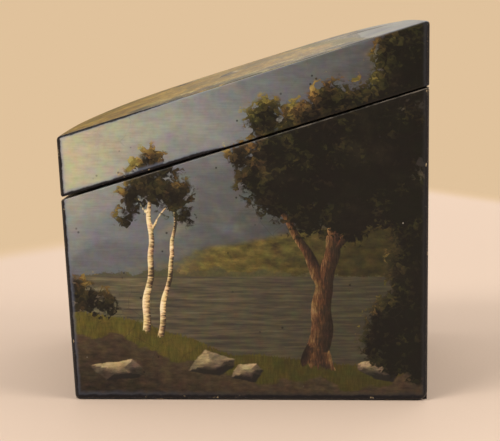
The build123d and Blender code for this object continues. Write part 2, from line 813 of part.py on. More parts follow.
# Lid: end rails, lapping over the front and back rails
for end_name, side in ends:
    with BuildPart() as lid_end_rail:
        with BuildSketch(side_plane(side * half_width)):
            Polygon(*band(lid_under, lid_panel_under, 0, 0))
        extrude(amount=side * corner_lap)
        outer = lid_end_rail.faces().sort_by(Axis.Y)[0 if side < 0 else -1]
        corners = outer.edges().sort_by(Axis.X)
        fillet([corners[0], corners[-1]], radius=edge_round)
        with BuildSketch(side_plane(side * lap_end)):
            Polygon(*band(lid_under, lid_panel_under, lid_wall, lid_wall))
        extrude(amount=side * (lid_wall - corner_lap))
    lid_end_rail.part.label = f"lid_{end_name}_rail"
    export_step(lid_end_rail.part, f"parts/lid_{end_name}_rail.step")

# Lid: front rail, with a recess for the link plate
with BuildPart() as lid_front_rail:
    with BuildSketch(side_plane(lap_end)):
        Polygon(*front_strip(lid_under, lid_panel_under, 0, lid_wall))
    extrude(amount=2 * lap_end)
    with BuildSketch(side_plane(link_plate_length / 2)):
        Polygon(*front_strip(lid_under, link_plate_top, link_plate_front, link_plate_back))
    extrude(amount=link_plate_length, mode=Mode.SUBTRACT)
    cut_screw_holes(link_seats)
lid_front_rail.part.label = "lid_front_rail"
export_step(lid_front_rail.part, "parts/lid_front_rail.step")

# Lid: back rail, with recesses for the hinges
with BuildPart() as lid_back_rail:
    with BuildSketch(side_plane(lap_end)):
        Polygon(*back_strip(lid_under, lid_panel_under, 0, lid_wall))
    extrude(amount=2 * lap_end)
    for _, middle in hinge_middles:
        with BuildSketch(side_plane(middle + hinge_length / 2)):
            Polygon(*leaf_side(lid_under, 1))
            with Locations(hinge_point):
                Circle(hinge_bore_radius)
        extrude(amount=hinge_length, mode=Mode.SUBTRACT)
    cut_screw_holes(lid_hinge_seats)
lid_back_rail.part.label = "lid_back_rail"
export_step(lid_back_rail.part, "parts/lid_back_rail.step")

# Lid: crowned top panel. The swelling is height * (1 - u^4) * (1 - v^2), with v from -1 to 1
# between the ends, and u from -1 a reach in front of the front edge to 1 at the back.
# Its 5 x 3 control net runs a little past the edges.
crown_overrun = 1.06
low_depth, high_depth = 1 - crown_overrun ** 4, 1 + crown_overrun ** 4
low_width, high_width = 1 - crown_overrun ** 2, 1 + crown_overrun ** 2
depth_ripple = [low_depth, high_depth, low_depth, high_depth, low_depth]
width_ripple = [low_width, high_width, low_width]
crown_start_x = front_at(0, lid_top)[0] - crown_front_reach
crown_middle_x = (crown_start_x + half_depth) / 2
crown_half_depth = (half_depth - crown_start_x) / 2 * crown_overrun
crown_net = [
    [
        Vector(
            crown_middle_x + crown_half_depth * (i / 2 - 1),
            half_width * crown_overrun * (j - 1),
            lid_top[0]
            + lid_top[1] * (crown_middle_x + crown_half_depth * (i / 2 - 1))
            + crown_height * depth_ripple[i] * width_ripple[j],
        )
        for j in range(3)
    ]
    for i in range(5)
]
crown = Face.make_bezier_surface(crown_net)

with BuildPart() as lid_top_panel:
    with BuildSketch(side_plane(half_width)):
        Polygon(*band(lid_panel_under, shifted(lid_top, 2 * crown_height), 0, 0))
    extrude(amount=box_width)
    extrude(crown, amount=6 * crown_height, dir=(0, 0, 1), mode=Mode.SUBTRACT)
    top_face = lid_top_panel.faces().sort_by(Axis.Z)[-1]
    corners = lid_top_panel.edges().filter_by(lambda edge: abs(edge.tangent_at(0.5).Z) > 0.9)
    fillet(top_face.edges() + corners, radius=edge_round)
lid_top_panel.part.label = "lid_top_panel"
export_step(lid_top_panel.part, "parts/lid_top_panel.step")

# Lid: ceiling panel under the top panel, and linings that come to rest on the lip
with BuildPart() as lid_ceiling:
    with BuildSketch(side_plane(lid_wall_end)):
        Polygon(*band(ceiling_under, lid_panel_under, lid_wall, lid_wall))
    extrude(amount=2 * lid_wall_end)
lid_ceiling.part.label = "lid_ceiling"
export_step(lid_ceiling.part, "parts/lid_ceiling.step")

lid_lining_under = shifted(lip_top, lip_seat)
for end_name, side in ends:
    with BuildPart() as lid_end_lining:
        with BuildSketch(side_plane(side * lid_wall_end)):
            Polygon(*band(lid_lining_under, ceiling_under, lid_wall, lid_wall))
        extrude(amount=side * lining)
    lid_end_lining.part.label = f"lid_{end_name}_lining"
    export_step(lid_end_lining.part, f"parts/lid_{end_name}_lining.step")

for wall_name, strip in (("front", front_strip), ("back", back_strip)):
    with BuildPart() as lid_long_lining:
        with BuildSketch(side_plane(lid_wall_end - lining)):
            Polygon(*strip(lid_lining_under, ceiling_under, lid_wall, lid_inner))
        extrude(amount=2 * (lid_wall_end - lining))
    lid_long_lining.part.label = f"lid_{wall_name}_lining"
    export_step(lid_long_lining.part, f"parts/lid_{wall_name}_lining.step")

# Lid: link plate, whose two hooks drop through the selvedge for the bolt to catch
with BuildPart() as lock_link_plate:
    with BuildSketch(side_plane(link_plate_length / 2)):
        Polygon(*front_strip(lid_under, link_plate_top, link_plate_front, link_plate_back))
    extrude(amount=link_plate_length)
    leg_length = hook_reach(shifted(lid_under, link_plate_thickness / 2))
    for y in hook_sides:
        with BuildSketch(hook_plane) as hook:
            with Locations((y - hook_leg_start + hook_leg_width / 2, leg_length / 2)):
                Rectangle(hook_leg_width, leg_length)
            with Locations((y + (hook_toe_end - hook_leg_start) / 2, hook_toe_height / 2)):
                Rectangle(hook_toe_end + hook_leg_start, hook_toe_height)
        extrude(hook.sketch, amount=hook_thickness / 2, both=True)
    cut_screw_holes(link_seats)
lock_link_plate.part.label = "lock_link_plate"
export_step(lock_link_plate.part, "parts/lock_link_plate.step")

with BuildPart() as link_plate_screws:
    add_screws(link_seats)
link_plate_screws.part.label = "link_plate_screws"
export_step(link_plate_screws.part, "parts/link_plate_screws.step")

print("hinge pin at x, z", round(hinge_x, 3), round(hinge_z, 3))
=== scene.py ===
"""Looks of a wedge-shaped tea caddy, painted and lacquered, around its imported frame.

Every length is in metres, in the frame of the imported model: X runs from the front to the
hinged back, Y from the right end to the left end, and Z up from the table.
"""
import json
import logging
import math
from dataclasses import dataclass
from enum import Enum

import bmesh
import bpy
import numpy as np
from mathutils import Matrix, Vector


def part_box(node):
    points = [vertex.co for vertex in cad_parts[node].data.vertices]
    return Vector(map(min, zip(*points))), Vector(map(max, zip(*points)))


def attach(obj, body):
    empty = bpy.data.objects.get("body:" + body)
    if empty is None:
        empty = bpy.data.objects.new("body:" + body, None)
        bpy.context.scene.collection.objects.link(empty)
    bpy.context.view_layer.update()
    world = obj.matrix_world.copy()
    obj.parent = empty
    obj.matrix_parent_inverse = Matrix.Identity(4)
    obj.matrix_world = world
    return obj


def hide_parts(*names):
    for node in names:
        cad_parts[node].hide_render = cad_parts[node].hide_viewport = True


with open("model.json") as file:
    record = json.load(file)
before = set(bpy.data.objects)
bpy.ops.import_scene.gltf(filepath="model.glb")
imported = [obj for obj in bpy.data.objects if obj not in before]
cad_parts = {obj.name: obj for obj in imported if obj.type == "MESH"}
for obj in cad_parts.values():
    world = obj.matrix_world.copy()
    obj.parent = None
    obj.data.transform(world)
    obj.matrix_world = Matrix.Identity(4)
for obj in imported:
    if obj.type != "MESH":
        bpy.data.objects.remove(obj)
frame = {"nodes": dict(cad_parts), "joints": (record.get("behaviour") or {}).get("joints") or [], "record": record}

log = logging.getLogger("caddy")

MM = 0.001
MERGE = 0.002 * MM  # points closer than this are one point
FLUSH = 0.03 * MM  # softness of an edge that lies flush against its neighbour
HALF_ARC = 3  # steps of half a rounded corner
SHARP_ANGLE = math.radians(38)
FLAT_ANGLE = math.radians(0.8)
EDGE_ANGLE = math.radians(30)
PLANING = 0.16 * MM  # depth of the waves that a hand plane leaves
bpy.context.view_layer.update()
LUMP = -99.0  # distance inside a form that lies nowhere near

Array = np.ndarray
Pair = tuple[Array, Array]  # points and faces, or two places or fields
Material, Object = bpy.types.Material, bpy.types.Object
Socket = bpy.types.NodeSocket
Value = Socket | float  # what a node takes for a number
Hue = Socket | tuple | int  # a colour: a socket, shares of light, or a screen's 0xRRGGBB
Triple = tuple[float, float, float]


# Sizes and levels.
@dataclass(frozen=True)
class Level:
    """A sloping plane across the box: its height where x is 0, and its rise along x."""

    height: float
    rise: float

    def shifted(self, distance: float) -> "Level":
        """Level moved square to itself, up for a positive distance."""
        return Level(self.height + distance * math.hypot(1, self.rise), self.rise)

    def at(self, x: float | Array) -> float | Array:
        """Height of the level at a place from front to back."""
        return self.height + self.rise * x


@dataclass(frozen=True)
class Shape:
    """Outline of the box in its side view, and the thickness of its boards."""

    half_depth: float = 65 * MM
    half_width: float = 95 * MM
    lean: float = math.tan(math.radians(3.8))
    slope: float = math.tan(math.radians(17.2))
    top_slope: float = math.tan(math.radians(17.5))
    body_front: float = 73.8 * MM
    lid_front: float = 97.0 * MM
    front_gap: float = 1.1 * MM
    back_gap: float = 0.6 * MM
    wall: float = 9.0 * MM
    lid_wall: float = 8.3 * MM
    lap: float = 4.5 * MM
    base_thickness: float = 7.0 * MM
    panel: float = 7.0 * MM
    crown: float = 3.9 * MM
    crown_front_reach: float = 4.5 * MM
    lining: float = 3.0 * MM

    def level_from_front(self, height: float, rise: float) -> Level:
        """Level that meets the front's outer face at a height."""
        return Level(height + (self.half_depth + height * self.lean) * rise, rise)

    def front(self, inset: float, level: Level) -> tuple[float, float]:
        """Where a level meets the front: start + lean * z is solved together with the level.

        Args:
            inset: Distance behind the front's outer face, square to it.
            level: The sloping plane.

        Returns:
            The side-view point, x and z.
        """
        start = -self.half_depth + inset * math.hypot(1, self.lean)
        x = (start - self.lean * level.height) / (1 + self.lean * level.rise)
        return x, level.at(x)

    def back(self, inset: float, level: Level) -> tuple[float, float]:
        """Side-view point of a level, an inset in front of the back's outer face."""
        x = self.half_depth - inset
        return x, level.at(x)

    @property
    def floor(self) -> Level:
        """The table under the box."""
        return Level(0.0, 0.0)

    @property
    def base_top(self) -> Level:
        """Top of the base board."""
        return Level(self.base_thickness, 0.0)

    @property
    def seam(self) -> Level:
        """Top edge of the body."""
        return self.level_from_front(self.body_front, self.slope)

    @property
    def lid_under(self) -> Level:
        """Lower edge of the lid: the seam's gap grows towards the front.

        Returns:
            The level through the edge's front and back corners.
        """
        x0, z0 = self.front(0, self.level_from_front(self.body_front + self.front_gap, self.slope))
        x1, z1 = self.half_depth, self.seam.at(self.half_depth) + self.back_gap
        rise = (z1 - z0) / (x1 - x0)
        return Level(z1 - rise * x1, rise)

    @property
    def lid_top(self) -> Level:
        """Edges of the lid's top, before its swelling."""
        return self.level_from_front(self.lid_front, self.top_slope)

    @property
    def panel_under(self) -> Level:
        """Underside of the lid's top panel."""
        return self.lid_top.shifted(-self.panel)

    def band(self, low: Level, high: Level, front: float, back: float) -> list:
        """Side view of what lies between two levels and two insets.

        Args:
            low: The lower level.
            high: The upper level.
            front: Inset behind the front's outer face.
            back: Inset in front of the back's outer face.

        Returns:
            Four points, from the front foot round.
        """
        return [self.front(front, low), self.back(back, low),
                self.back(back, high), self.front(front, high)]

    def swelling(self, x: Array, y: Array) -> Array:
        """Height of the lid's swelling: crown * (1 - u^4) * (1 - v^2).

        Args:
            x: Places from front to back; u goes from -1, a reach in front of the front edge,
                to 1 at the back.
            y: Places along the width; v goes from -1 to 1 between the ends.

        Returns:
            The height at each place.
        """
        low, high = self.front(0, self.lid_top)[0] - self.crown_front_reach, self.half_depth
        u = np.clip((2 * x - low - high) / (high - low), -1, 1)
        v = np.clip(y / self.half_width, -1, 1)
        return self.crown * (1 - u**4) * (1 - v**2)

    def depths(self, points: Array) -> Array:
        """Distance of each point inside the six outer faces, one column for each Side.

        Args:
            points: n points.

        Returns:
            An array of n rows and six columns, positive inside the box.
        """
        x, y, z = points.T
        top = self.lid_top.at(x) + self.swelling(x, y) - z
        return np.stack([
            y + self.half_width,
            self.half_width - y,
            (x + self.half_depth + self.lean * z) / math.hypot(1, self.lean),
            self.half_depth - x,
            top / math.hypot(1, self.top_slope),
            z,
        ], axis=1)


SHAPE = Shape()


class Side(Enum):
    """Outer faces of the box, in the order of the columns of Shape.depths."""

    RIGHT = 0
    LEFT = 1
    FRONT = 2
    BACK = 3
    TOP = 4
    UNDER = 5

    def spread(self, points: Array) -> Pair:
        """Places of points on this face as someone facing it sees them.

        Args:
            points: n points.

        Returns:
            The distances right and up.
        """
        x, y, z = points.T
        return {
            Side.RIGHT: (x, z), Side.LEFT: (-x, z), Side.FRONT: (-y, z),
            Side.BACK: (y, z), Side.TOP: (-y, x + SHAPE.half_depth), Side.UNDER: (x, y),
        }[self]


# The painted landscape.
def smooth(low: float, high: float, value: Array) -> Array:
    """Smooth step from 0 at low to 1 at high: 3t^2 - 2t^3 of the share t in between."""
    t = np.clip((value - low) / (high - low), 0, 1)
    return t * t * (3 - 2 * t)


@dataclass(frozen=True)
class Vista:
    """Layout of the landscape on one face, in millimetres right of its middle and up."""

    horizon: float  # the far shore
    hills: tuple  # (middle, spread, height) each
    crowns: tuple  # (right, up, radius) of leaf masses
    trunks: tuple  # (right, up, radius) twice each
    pale_trunks: tuple  # the same, in light bark
    bank: tuple  # (right, up) along the near bank
    earth: float  # how far the bare earth lies below it
    rocks: tuple  # (right, up, half width, half height)
    dusk: tuple = (0.05, 0.0076, 0.007, 90.0, -65.0)  # sky: start, per right, per down, from
    warm: float = LUMP  # warm brown ground below this
    seed: float = 0.0

    def ground_fields(self, u: Array, v: Array) -> tuple:
        """Distances inside the hills, far woods, lake, bank and earth.

        The hills are a sum of bell curves on the horizon, the woods a low row of arches, and
        the bank follows straight runs between its points, softened by two slow waves.

        Args:
            u: Millimetres right of the middle.
            v: Millimetres up.

        Returns:
            The five distances, positive inside.
        """
        wave = np.sin(0.11 * u + self.seed) + 0.5 * np.sin(0.29 * u + 2.1 * self.seed)
        ridge = self.horizon + 0.7 * wave
        for middle, spread, height in self.hills:
            ridge = ridge + height * np.exp(-(((u - middle) / spread) ** 2))
        arches = 2.2 * np.abs(np.sin(0.16 * u + self.seed)) + 1.5 * np.abs(np.sin(0.37 * u))
        woods = self.horizon + arches * (0.5 + 0.5 * np.sin(0.045 * u + 1.7 + self.seed))
        bank = np.interp(u, [p[0] for p in self.bank], [p[1] for p in self.bank]) + 0.6 * wave
        earth = bank - self.earth - 1.6 * np.sin(0.17 * u + self.seed) - 1.1 * np.sin(0.41 * u)
        return ridge - v, woods - v, self.horizon - v, bank - v, earth - v

    def crown_fields(self, u: Array, v: Array) -> tuple:
        """Distance inside the leaf masses, and how far each place faces the light.

        The distance is the soft maximum of the discs' own distances, and the light is the
        mean of the discs' slopes towards the upper left, weighed by how near each disc is.

        Args:
            u: Millimetres right of the middle.
            v: Millimetres up.

        Returns:
            The distance, positive inside, and the light.
        """
        if not self.crowns:
            return np.full_like(u, LUMP), np.zeros_like(u)
        near, lit, total = 1.4, np.zeros_like(u), np.zeros_like(u)
        for cu, cv, radius in self.crowns:
            inside = radius - np.hypot(u - cu, v - cv)
            weight = np.exp(np.clip(inside / near, -60, 20))
            total = total + weight
            lit = lit + weight * (0.8 * (v - cv) - 0.6 * (u - cu)) / radius
        return near * np.log(total + 1e-26), lit / (total + 1e-26)

    @staticmethod
    def limb_fields(limbs: tuple, u: Array, v: Array) -> tuple:
        """Distance inside tapered limbs, and the place across them from -1, left, to 1.

        Each limb is all points nearer to its line than a radius that goes evenly from one
        end's to the other's.

        Args:
            limbs: Right, up and radius of both ends of each limb.
            u: Millimetres right of the middle.
            v: Millimetres up.

        Returns:
            The distance, positive inside, and the place across.
        """
        best, across = np.full_like(u, LUMP), np.zeros_like(u)
        for (u0, v0, r0), (u1, v1, r1) in limbs:
            du, dv = u1 - u0, v1 - v0
            t = np.clip(((u - u0) * du + (v - v0) * dv) / (du * du + dv * dv), 0, 1)
            bend = 0.7 * np.sin(0.31 * v + 1.3 * u0)
            gap = np.hypot(u - u0 - t * du - bend * np.sin(math.pi * t), v - v0 - t * dv)
            radius = r0 + (r1 - r0) * t
            turn = (dv * (u - u0) - du * (v - v0)) / math.hypot(du, dv) / radius
            inside = radius - gap
            across = np.where(inside > best, turn, across)
            best = np.maximum(best, inside)
        return best, np.clip(across, -1.5, 1.5)

    def rock_fields(self, u: Array, v: Array) -> tuple:
        """Distance inside the boulders, and how far each place faces the light.

        A boulder is what lies inside eight slanting lines; the nearest line's own slant
        gives the light, so that each boulder shows broken planes.

        Args:
            u: Millimetres right of the middle.
            v: Millimetres up.

        Returns:
            The distance, positive inside, and the light.
        """
        best, light = np.full_like(u, LUMP), np.zeros_like(u)
        for k, (ru, rv, half_width, half_height) in enumerate(self.rocks):
            a, b = (u - ru) / half_width, (v - rv) / half_height
            turn = np.linspace(0, 2 * math.pi, 8, endpoint=False)
            turn = turn + 0.5 * np.sin(np.arange(8) * 2.7 + k)
            reach = 0.86 + 0.14 * np.sin(np.arange(8) * 4.1 + 1.9 * k)
            lines = reach[:, None] - np.cos(turn)[:, None] * a - np.sin(turn)[:, None] * b
            facing = (0.9 * np.sin(turn) - 0.5 * np.cos(turn))[lines.argmin(0)]
            inside = lines.min(0) * half_height
            high = 1 - smooth(0.3, 0.62, lines.min(0))
            light = np.where(inside > best, facing * high + 0.45 * (1 - high) + 0.4 * b, light)
            best = np.maximum(best, inside)
        return best, light

    def tone(self, u: Array, v: Array) -> Array:
        """Dusk of the sky: it grows evenly to the right and down, within its limits.

        Args:
            u: Millimetres right of the middle.
            v: Millimetres up.

        Returns:
            From 0, pale, to 1, nearly dark, and below 0 on warm brown ground.
        """
        start, per_right, per_down, level, left = self.dusk
        right = u - left
        down = np.clip(level + 0.31 * right - v, 0, None) * np.clip(1 - right / 130, 0.2, 1)
        warm = 0.9 * smooth(-self.warm - 14, -self.warm + 14, -v)
        return np.clip(start + per_right * right + per_down * down, 0, 1) * (1 - warm) - warm


LEAFY_OAK = (
    (30, 84, 17), (12, 80, 13), (47, 88, 15), (22, 98, 13), (40, 103, 14), (55, 74, 12),
    (8, 92, 9), (36, 70, 11), (57, 98, 12), (20, 69, 8), (1, 82, 7), (50, 113, 9), (29, 110, 8),
)
OAK_LIMBS = (
    ((24, 8, 5.0), (27, 44, 3.2)), ((27, 44, 3.2), (33, 72, 2.2)), ((27, 42, 2.4), (14, 66, 1.3)),
    ((14, 66, 1.3), (4, 78, 0.8)), ((30, 56, 1.9), (48, 76, 1.0)), ((33, 72, 2.0), (30, 96, 0.9)),
    ((23.5, 19, 3.4), (18.5, 9, 1.8)), ((25, 19, 3.4), (31, 8, 1.8)),
)
BIRCHES = (
    ((-39, 22, 1.5), (-36.5, 58, 1.0)), ((-36.5, 58, 1.0), (-38, 84, 0.5)),
    ((-34, 20, 1.2), (-29, 54, 0.8)), ((-29, 54, 0.8), (-28, 74, 0.4)),
    ((-37, 62, 0.5), (-31.5, 71, 0.3)), ((-37.2, 68, 0.5), (-43, 77, 0.3)),
)
BIRCH_LEAVES = (
    (-40, 82, 6.5), (-34, 77, 5.5), (-44, 76, 5), (-28, 76, 5.5), (-37, 89, 4.5), (-46, 69, 3.5),
    (-25, 70, 3.5), (-32, 85, 4), (-60, 38, 5.5), (-66, 41, 5), (-54, 36, 4),
)

VISTAS = {
    Side.RIGHT: Vista(
        horizon=46, hills=((-52, 17, 13), (-16, 15, 8), (22, 30, 17), (60, 20, 30)),
        crowns=LEAFY_OAK + BIRCH_LEAVES + (
            (66, 60, 14), (64, 36, 15), (52, 29, 10), (63, 48, 13), (46, 22, 6), (60, 126, 16),
            (63, 19, 12), (53, 18, 8), (5, 104, 7), (-4, 90, 5)),
        trunks=OAK_LIMBS, pale_trunks=BIRCHES,
        bank=((-75, 35), (-52, 31), (-26, 25), (-6, 17), (16, 15.5), (38, 14), (70, 19)),
        earth=8.5,
        rocks=((-14, 13.5, 9, 5), (-1, 10.5, 6.5, 4), (47, 12, 8, 4.6), (-48, 11, 10, 4.4)),
        seed=0.6),
    Side.LEFT: Vista(
        horizon=50, hills=((-40, 22, 20), (0, 18, 9), (44, 18, 12)),
        crowns=((-50, 92, 14), (-36, 82, 12), (-58, 74, 12), (-42, 102, 11), (-28, 92, 8),
                (-62, 104, 10), (44, 40, 6), (52, 44, 7), (60, 39, 7), (34, 58, 6), (28, 52, 5),
                (41, 54, 6), (36, 66, 5), (46, 47, 4)),
        trunks=(((-46, 18, 4.2), (-45, 50, 3)), ((-45, 50, 3), (-50, 84, 1.6)),
                ((-45, 48, 2), (-34, 78, 1))),
        pale_trunks=(((30, 22, 1.2), (33, 58, 0.6)), ((35, 22, 1.0), (40, 50, 0.5))),
        bank=((-70, 18), (-44, 19), (-20, 14), (10, 17), (30, 24), (75, 34)),
        earth=8, rocks=((-8, 11, 9, 5), (8, 9, 6, 3.6)),
        dusk=(0.86, -0.0062, 0.003, 90.0, -65.0), seed=2.2),
    Side.FRONT: Vista(
        horizon=38, hills=((-60, 26, 16), (-10, 22, 9), (50, 26, 14)),
        crowns=((-74, 66, 13), (-62, 56, 10), (-84, 54, 12), (-70, 78, 10), (-88, 76, 10),
                (72, 62, 12), (84, 70, 13), (62, 52, 8), (88, 50, 10), (40, 47, 5.5),
                (34, 42, 4.5), (46, 42, 5), (41, 55, 4), (-30, 20, 4), (-24, 18, 3.5)),
        trunks=(((-72, 14, 3.2), (-74, 54, 1.8)), ((76, 14, 3), (79, 52, 1.7)),
                ((-73, 34, 1.5), (-62, 52, 0.8))),
        pale_trunks=(((38, 14, 1.1), (40, 46, 0.6)),),
        bank=((-95, 17), (-50, 13), (-15, 9), (20, 10), (60, 15), (95, 19)),
        earth=7, rocks=((-34, 9, 9, 4.4), (30, 8, 7, 3.6)),
        dusk=(0.12, 0.0022, 0.005, 88.0, -95.0), seed=3.9),
    Side.BACK: Vista(
        horizon=44, hills=((-50, 30, 22), (20, 24, 14), (70, 26, 24)),
        crowns=((-78, 84, 18), (-60, 70, 15), (-84, 56, 14), (-68, 104, 15), (-46, 84, 10),
                (70, 92, 18), (84, 76, 15), (56, 78, 12), (80, 112, 13), (5, 66, 8), (14, 62, 8),
                (-2, 58, 6), (10, 76, 7), (21, 54, 5), (-34, 24, 6), (-26, 22, 5), (44, 22, 5)),
        trunks=(((-70, 16, 4.4), (-72, 66, 2.4)), ((74, 16, 4.2), (73, 70, 2.2)),
                ((-71, 44, 2), (-54, 66, 1))),
        pale_trunks=(((8, 20, 1.3), (5, 66, 0.6)), ((13, 20, 1.1), (17, 58, 0.5))),
        bank=((-95, 22), (-50, 18), (-10, 15), (30, 17), (95, 24)),
        earth=9, rocks=((-22, 12, 10, 5), (36, 11, 8, 4.4)),
        dusk=(0.5, 0.0014, 0.0035, 110.0, -95.0), seed=5.1),
    Side.TOP: Vista(
        horizon=105, hills=((-58, 26, 9), (0, 30, 6), (60, 24, 12)),
        crowns=((-80, 96, 12), (-68, 86, 10), (-88, 80, 11), (-84, 110, 10), (-60, 76, 6),
                (30, 112, 6.5), (24, 107, 5), (36, 107, 5.5), (88, 27, 8), (90, 40, 9), (87, 52, 8),
                (91, 64, 10), (86, 76, 9), (90, 88, 9), (84, 97, 7), (92, 104, 6), (-26, 98, 4.5),
                (-18, 100, 5), (-10, 97, 4), (8, 40, 5), (15, 38, 4), (-70, 22, 6), (-62, 19, 5)),
        trunks=(((-77, 50, 2.8), (-78, 88, 1.6)),),
        pale_trunks=(((28, 82, 1.1), (30, 108, 0.5)), ((34, 80, 0.9), (35, 106, 0.4))),
        bank=((-95, 86), (-52, 84), (-20, 80), (10, 86), (40, 96), (70, 104), (95, 108)),
        earth=9, rocks=((-34, 40, 11, 5), (20, 38, 9, 4.6), (52, 56, 8, 4), (-50, 14, 7, 3.4)),
        dusk=(0.2, 0.0014, 0.0, 90.0, -95.0), warm=98, seed=7.3),
}
VISTAS[Side.UNDER] = VISTAS[Side.FRONT]


class PaintedSkin:
    """Fields of the painting on a mesh: what lies where, and how near the edges are."""

    NAMES = ("panel", "edges", "grounds", "near", "forms", "lights")

    @staticmethod
    def rims(depth: Array, nearest: Array, x: Array) -> tuple:
        """Distance from the black rims, and from the rubbed rim round the lid's top.

        The distance to every other face is stretched by how thin the black is along that
        pair's edge; round the top it thins towards the back, where the rim is rubbed bare.

        Args:
            depth: Distance inside each face, from Shape.depths.
            nearest: Number of the nearest face of each point.
            x: Places from front to back.

        Returns:
            Both distances for each point.
        """
        stretch = np.ones_like(depth)
        back = smooth(-50 * MM, -8 * MM, x)
        top, under = nearest == Side.TOP.value, nearest == Side.UNDER.value
        stretch[:, Side.TOP.value] = 2.0 + 4 * back
        stretch[top] = (2.0 + 4 * back[top])[:, None]
        stretch[:, Side.UNDER.value] = 0.72
        stretch[under] = 0.72
        own = np.arange(len(depth)), nearest
        others = depth * stretch
        others[own] = np.inf
        edge = np.where(top, np.partition(depth, 1, axis=1)[:, 1], depth[:, Side.TOP.value])
        return others.min(axis=1), np.clip(edge, 0, None) + 3 * MM * (1 - back)

    @staticmethod
    def write(mesh: bpy.types.Mesh, seam: Level, lid: bool) -> None:
        """Work the painting's fields out at every vertex and store them as attributes.

        Args:
            mesh: The finished mesh of a painted board.
            seam: The board's own edge along the seam.
            lid: True above the seam, where that edge is worn less.
        """
        points = np.empty(len(mesh.vertices) * 3, np.float32)
        mesh.vertices.foreach_get("co", points)
        points = points.reshape(-1, 3).astype(float)
        depth = SHAPE.depths(points)
        skin, nearest = depth.min(axis=1), depth.argmin(axis=1)
        rim, top_edge = PaintedSkin.rims(depth, nearest, points[:, 0])
        fields = {name: np.zeros((len(points), 3)) for name in PaintedSkin.NAMES}
        for side in Side:
            mine = nearest == side.value
            if not mine.any():
                continue
            u, v = side.spread(points[mine])
            vista, u_mm, v_mm = VISTAS[side], u / MM, v / MM
            hill, woods, lake, bank, earth = vista.ground_fields(u_mm, v_mm)
            crown, crown_light = vista.crown_fields(u_mm, v_mm)
            trunk, trunk_across = vista.limb_fields(vista.trunks, u_mm, v_mm)
            pale, pale_across = vista.limb_fields(vista.pale_trunks, u_mm, v_mm)
            rock, rock_up = vista.rock_fields(u_mm, v_mm)
            across = np.where(pale > trunk, pale_across, trunk_across)
            fields["panel"][mine] = np.stack([u, v, np.full_like(u, 0.3 * side.value)], 1)
            fields["grounds"][mine] = np.stack([hill, woods, lake], 1)
            fields["near"][mine] = np.stack([bank, earth, vista.tone(u_mm, v_mm)], 1)
            fields["forms"][mine] = np.stack([crown, trunk, pale], 1)
            fields["lights"][mine] = np.stack([crown_light, across, rock_up], 1)
            fields["edges"][mine, 0] = rock
        rock = fields["edges"][:, 0].copy()
        away = np.abs(seam.at(points[:, 0]) - points[:, 2]) / math.hypot(1, seam.rise)
        side = (nearest < Side.BACK.value) & lid
        edge = away + 0.45 * MM + 8 * MM * smooth(-0.02, 0.03, points[:, 0])
        rim = np.where(side, np.minimum(rim, edge), rim)
        line = np.minimum(away + (4 * MM if lid else 0), top_edge)
        fields["edges"] = np.stack([rim, line, skin], 1) / MM
        fields["near"][:, 2] += -0.07 if lid else 0.08
        for name, values in fields.items():
            layer = mesh.attributes.new(name, "FLOAT_VECTOR", "POINT")
            layer.data.foreach_set("vector", values.astype(np.float32).ravel())
        layer = mesh.attributes.new("rock", "FLOAT", "POINT")
        layer.data.foreach_set("value", rock.astype(np.float32))


# Node trees.
def paint(screen: int) -> tuple[float, float, float, float]:
    """Colour as a node takes it: each value goes along the usual curve, straight near black.

    Args:
        screen: The colour on a screen, 0xRRGGBB.

    Returns:
        Shares of light, and 1 for solid.
    """
    value = np.array([screen >> 16, screen >> 8 & 255, screen & 255]) / 255
    light = np.where(value <= 0.04045, value / 12.92, ((value + 0.055) / 1.055) ** 2.4)
    return (*light.tolist(), 1.0)


def hue(colour: Hue) -> Socket | tuple:
    """A screen's colour as paint, and any other as it is."""
    return paint(colour) if isinstance(colour, int) else colour


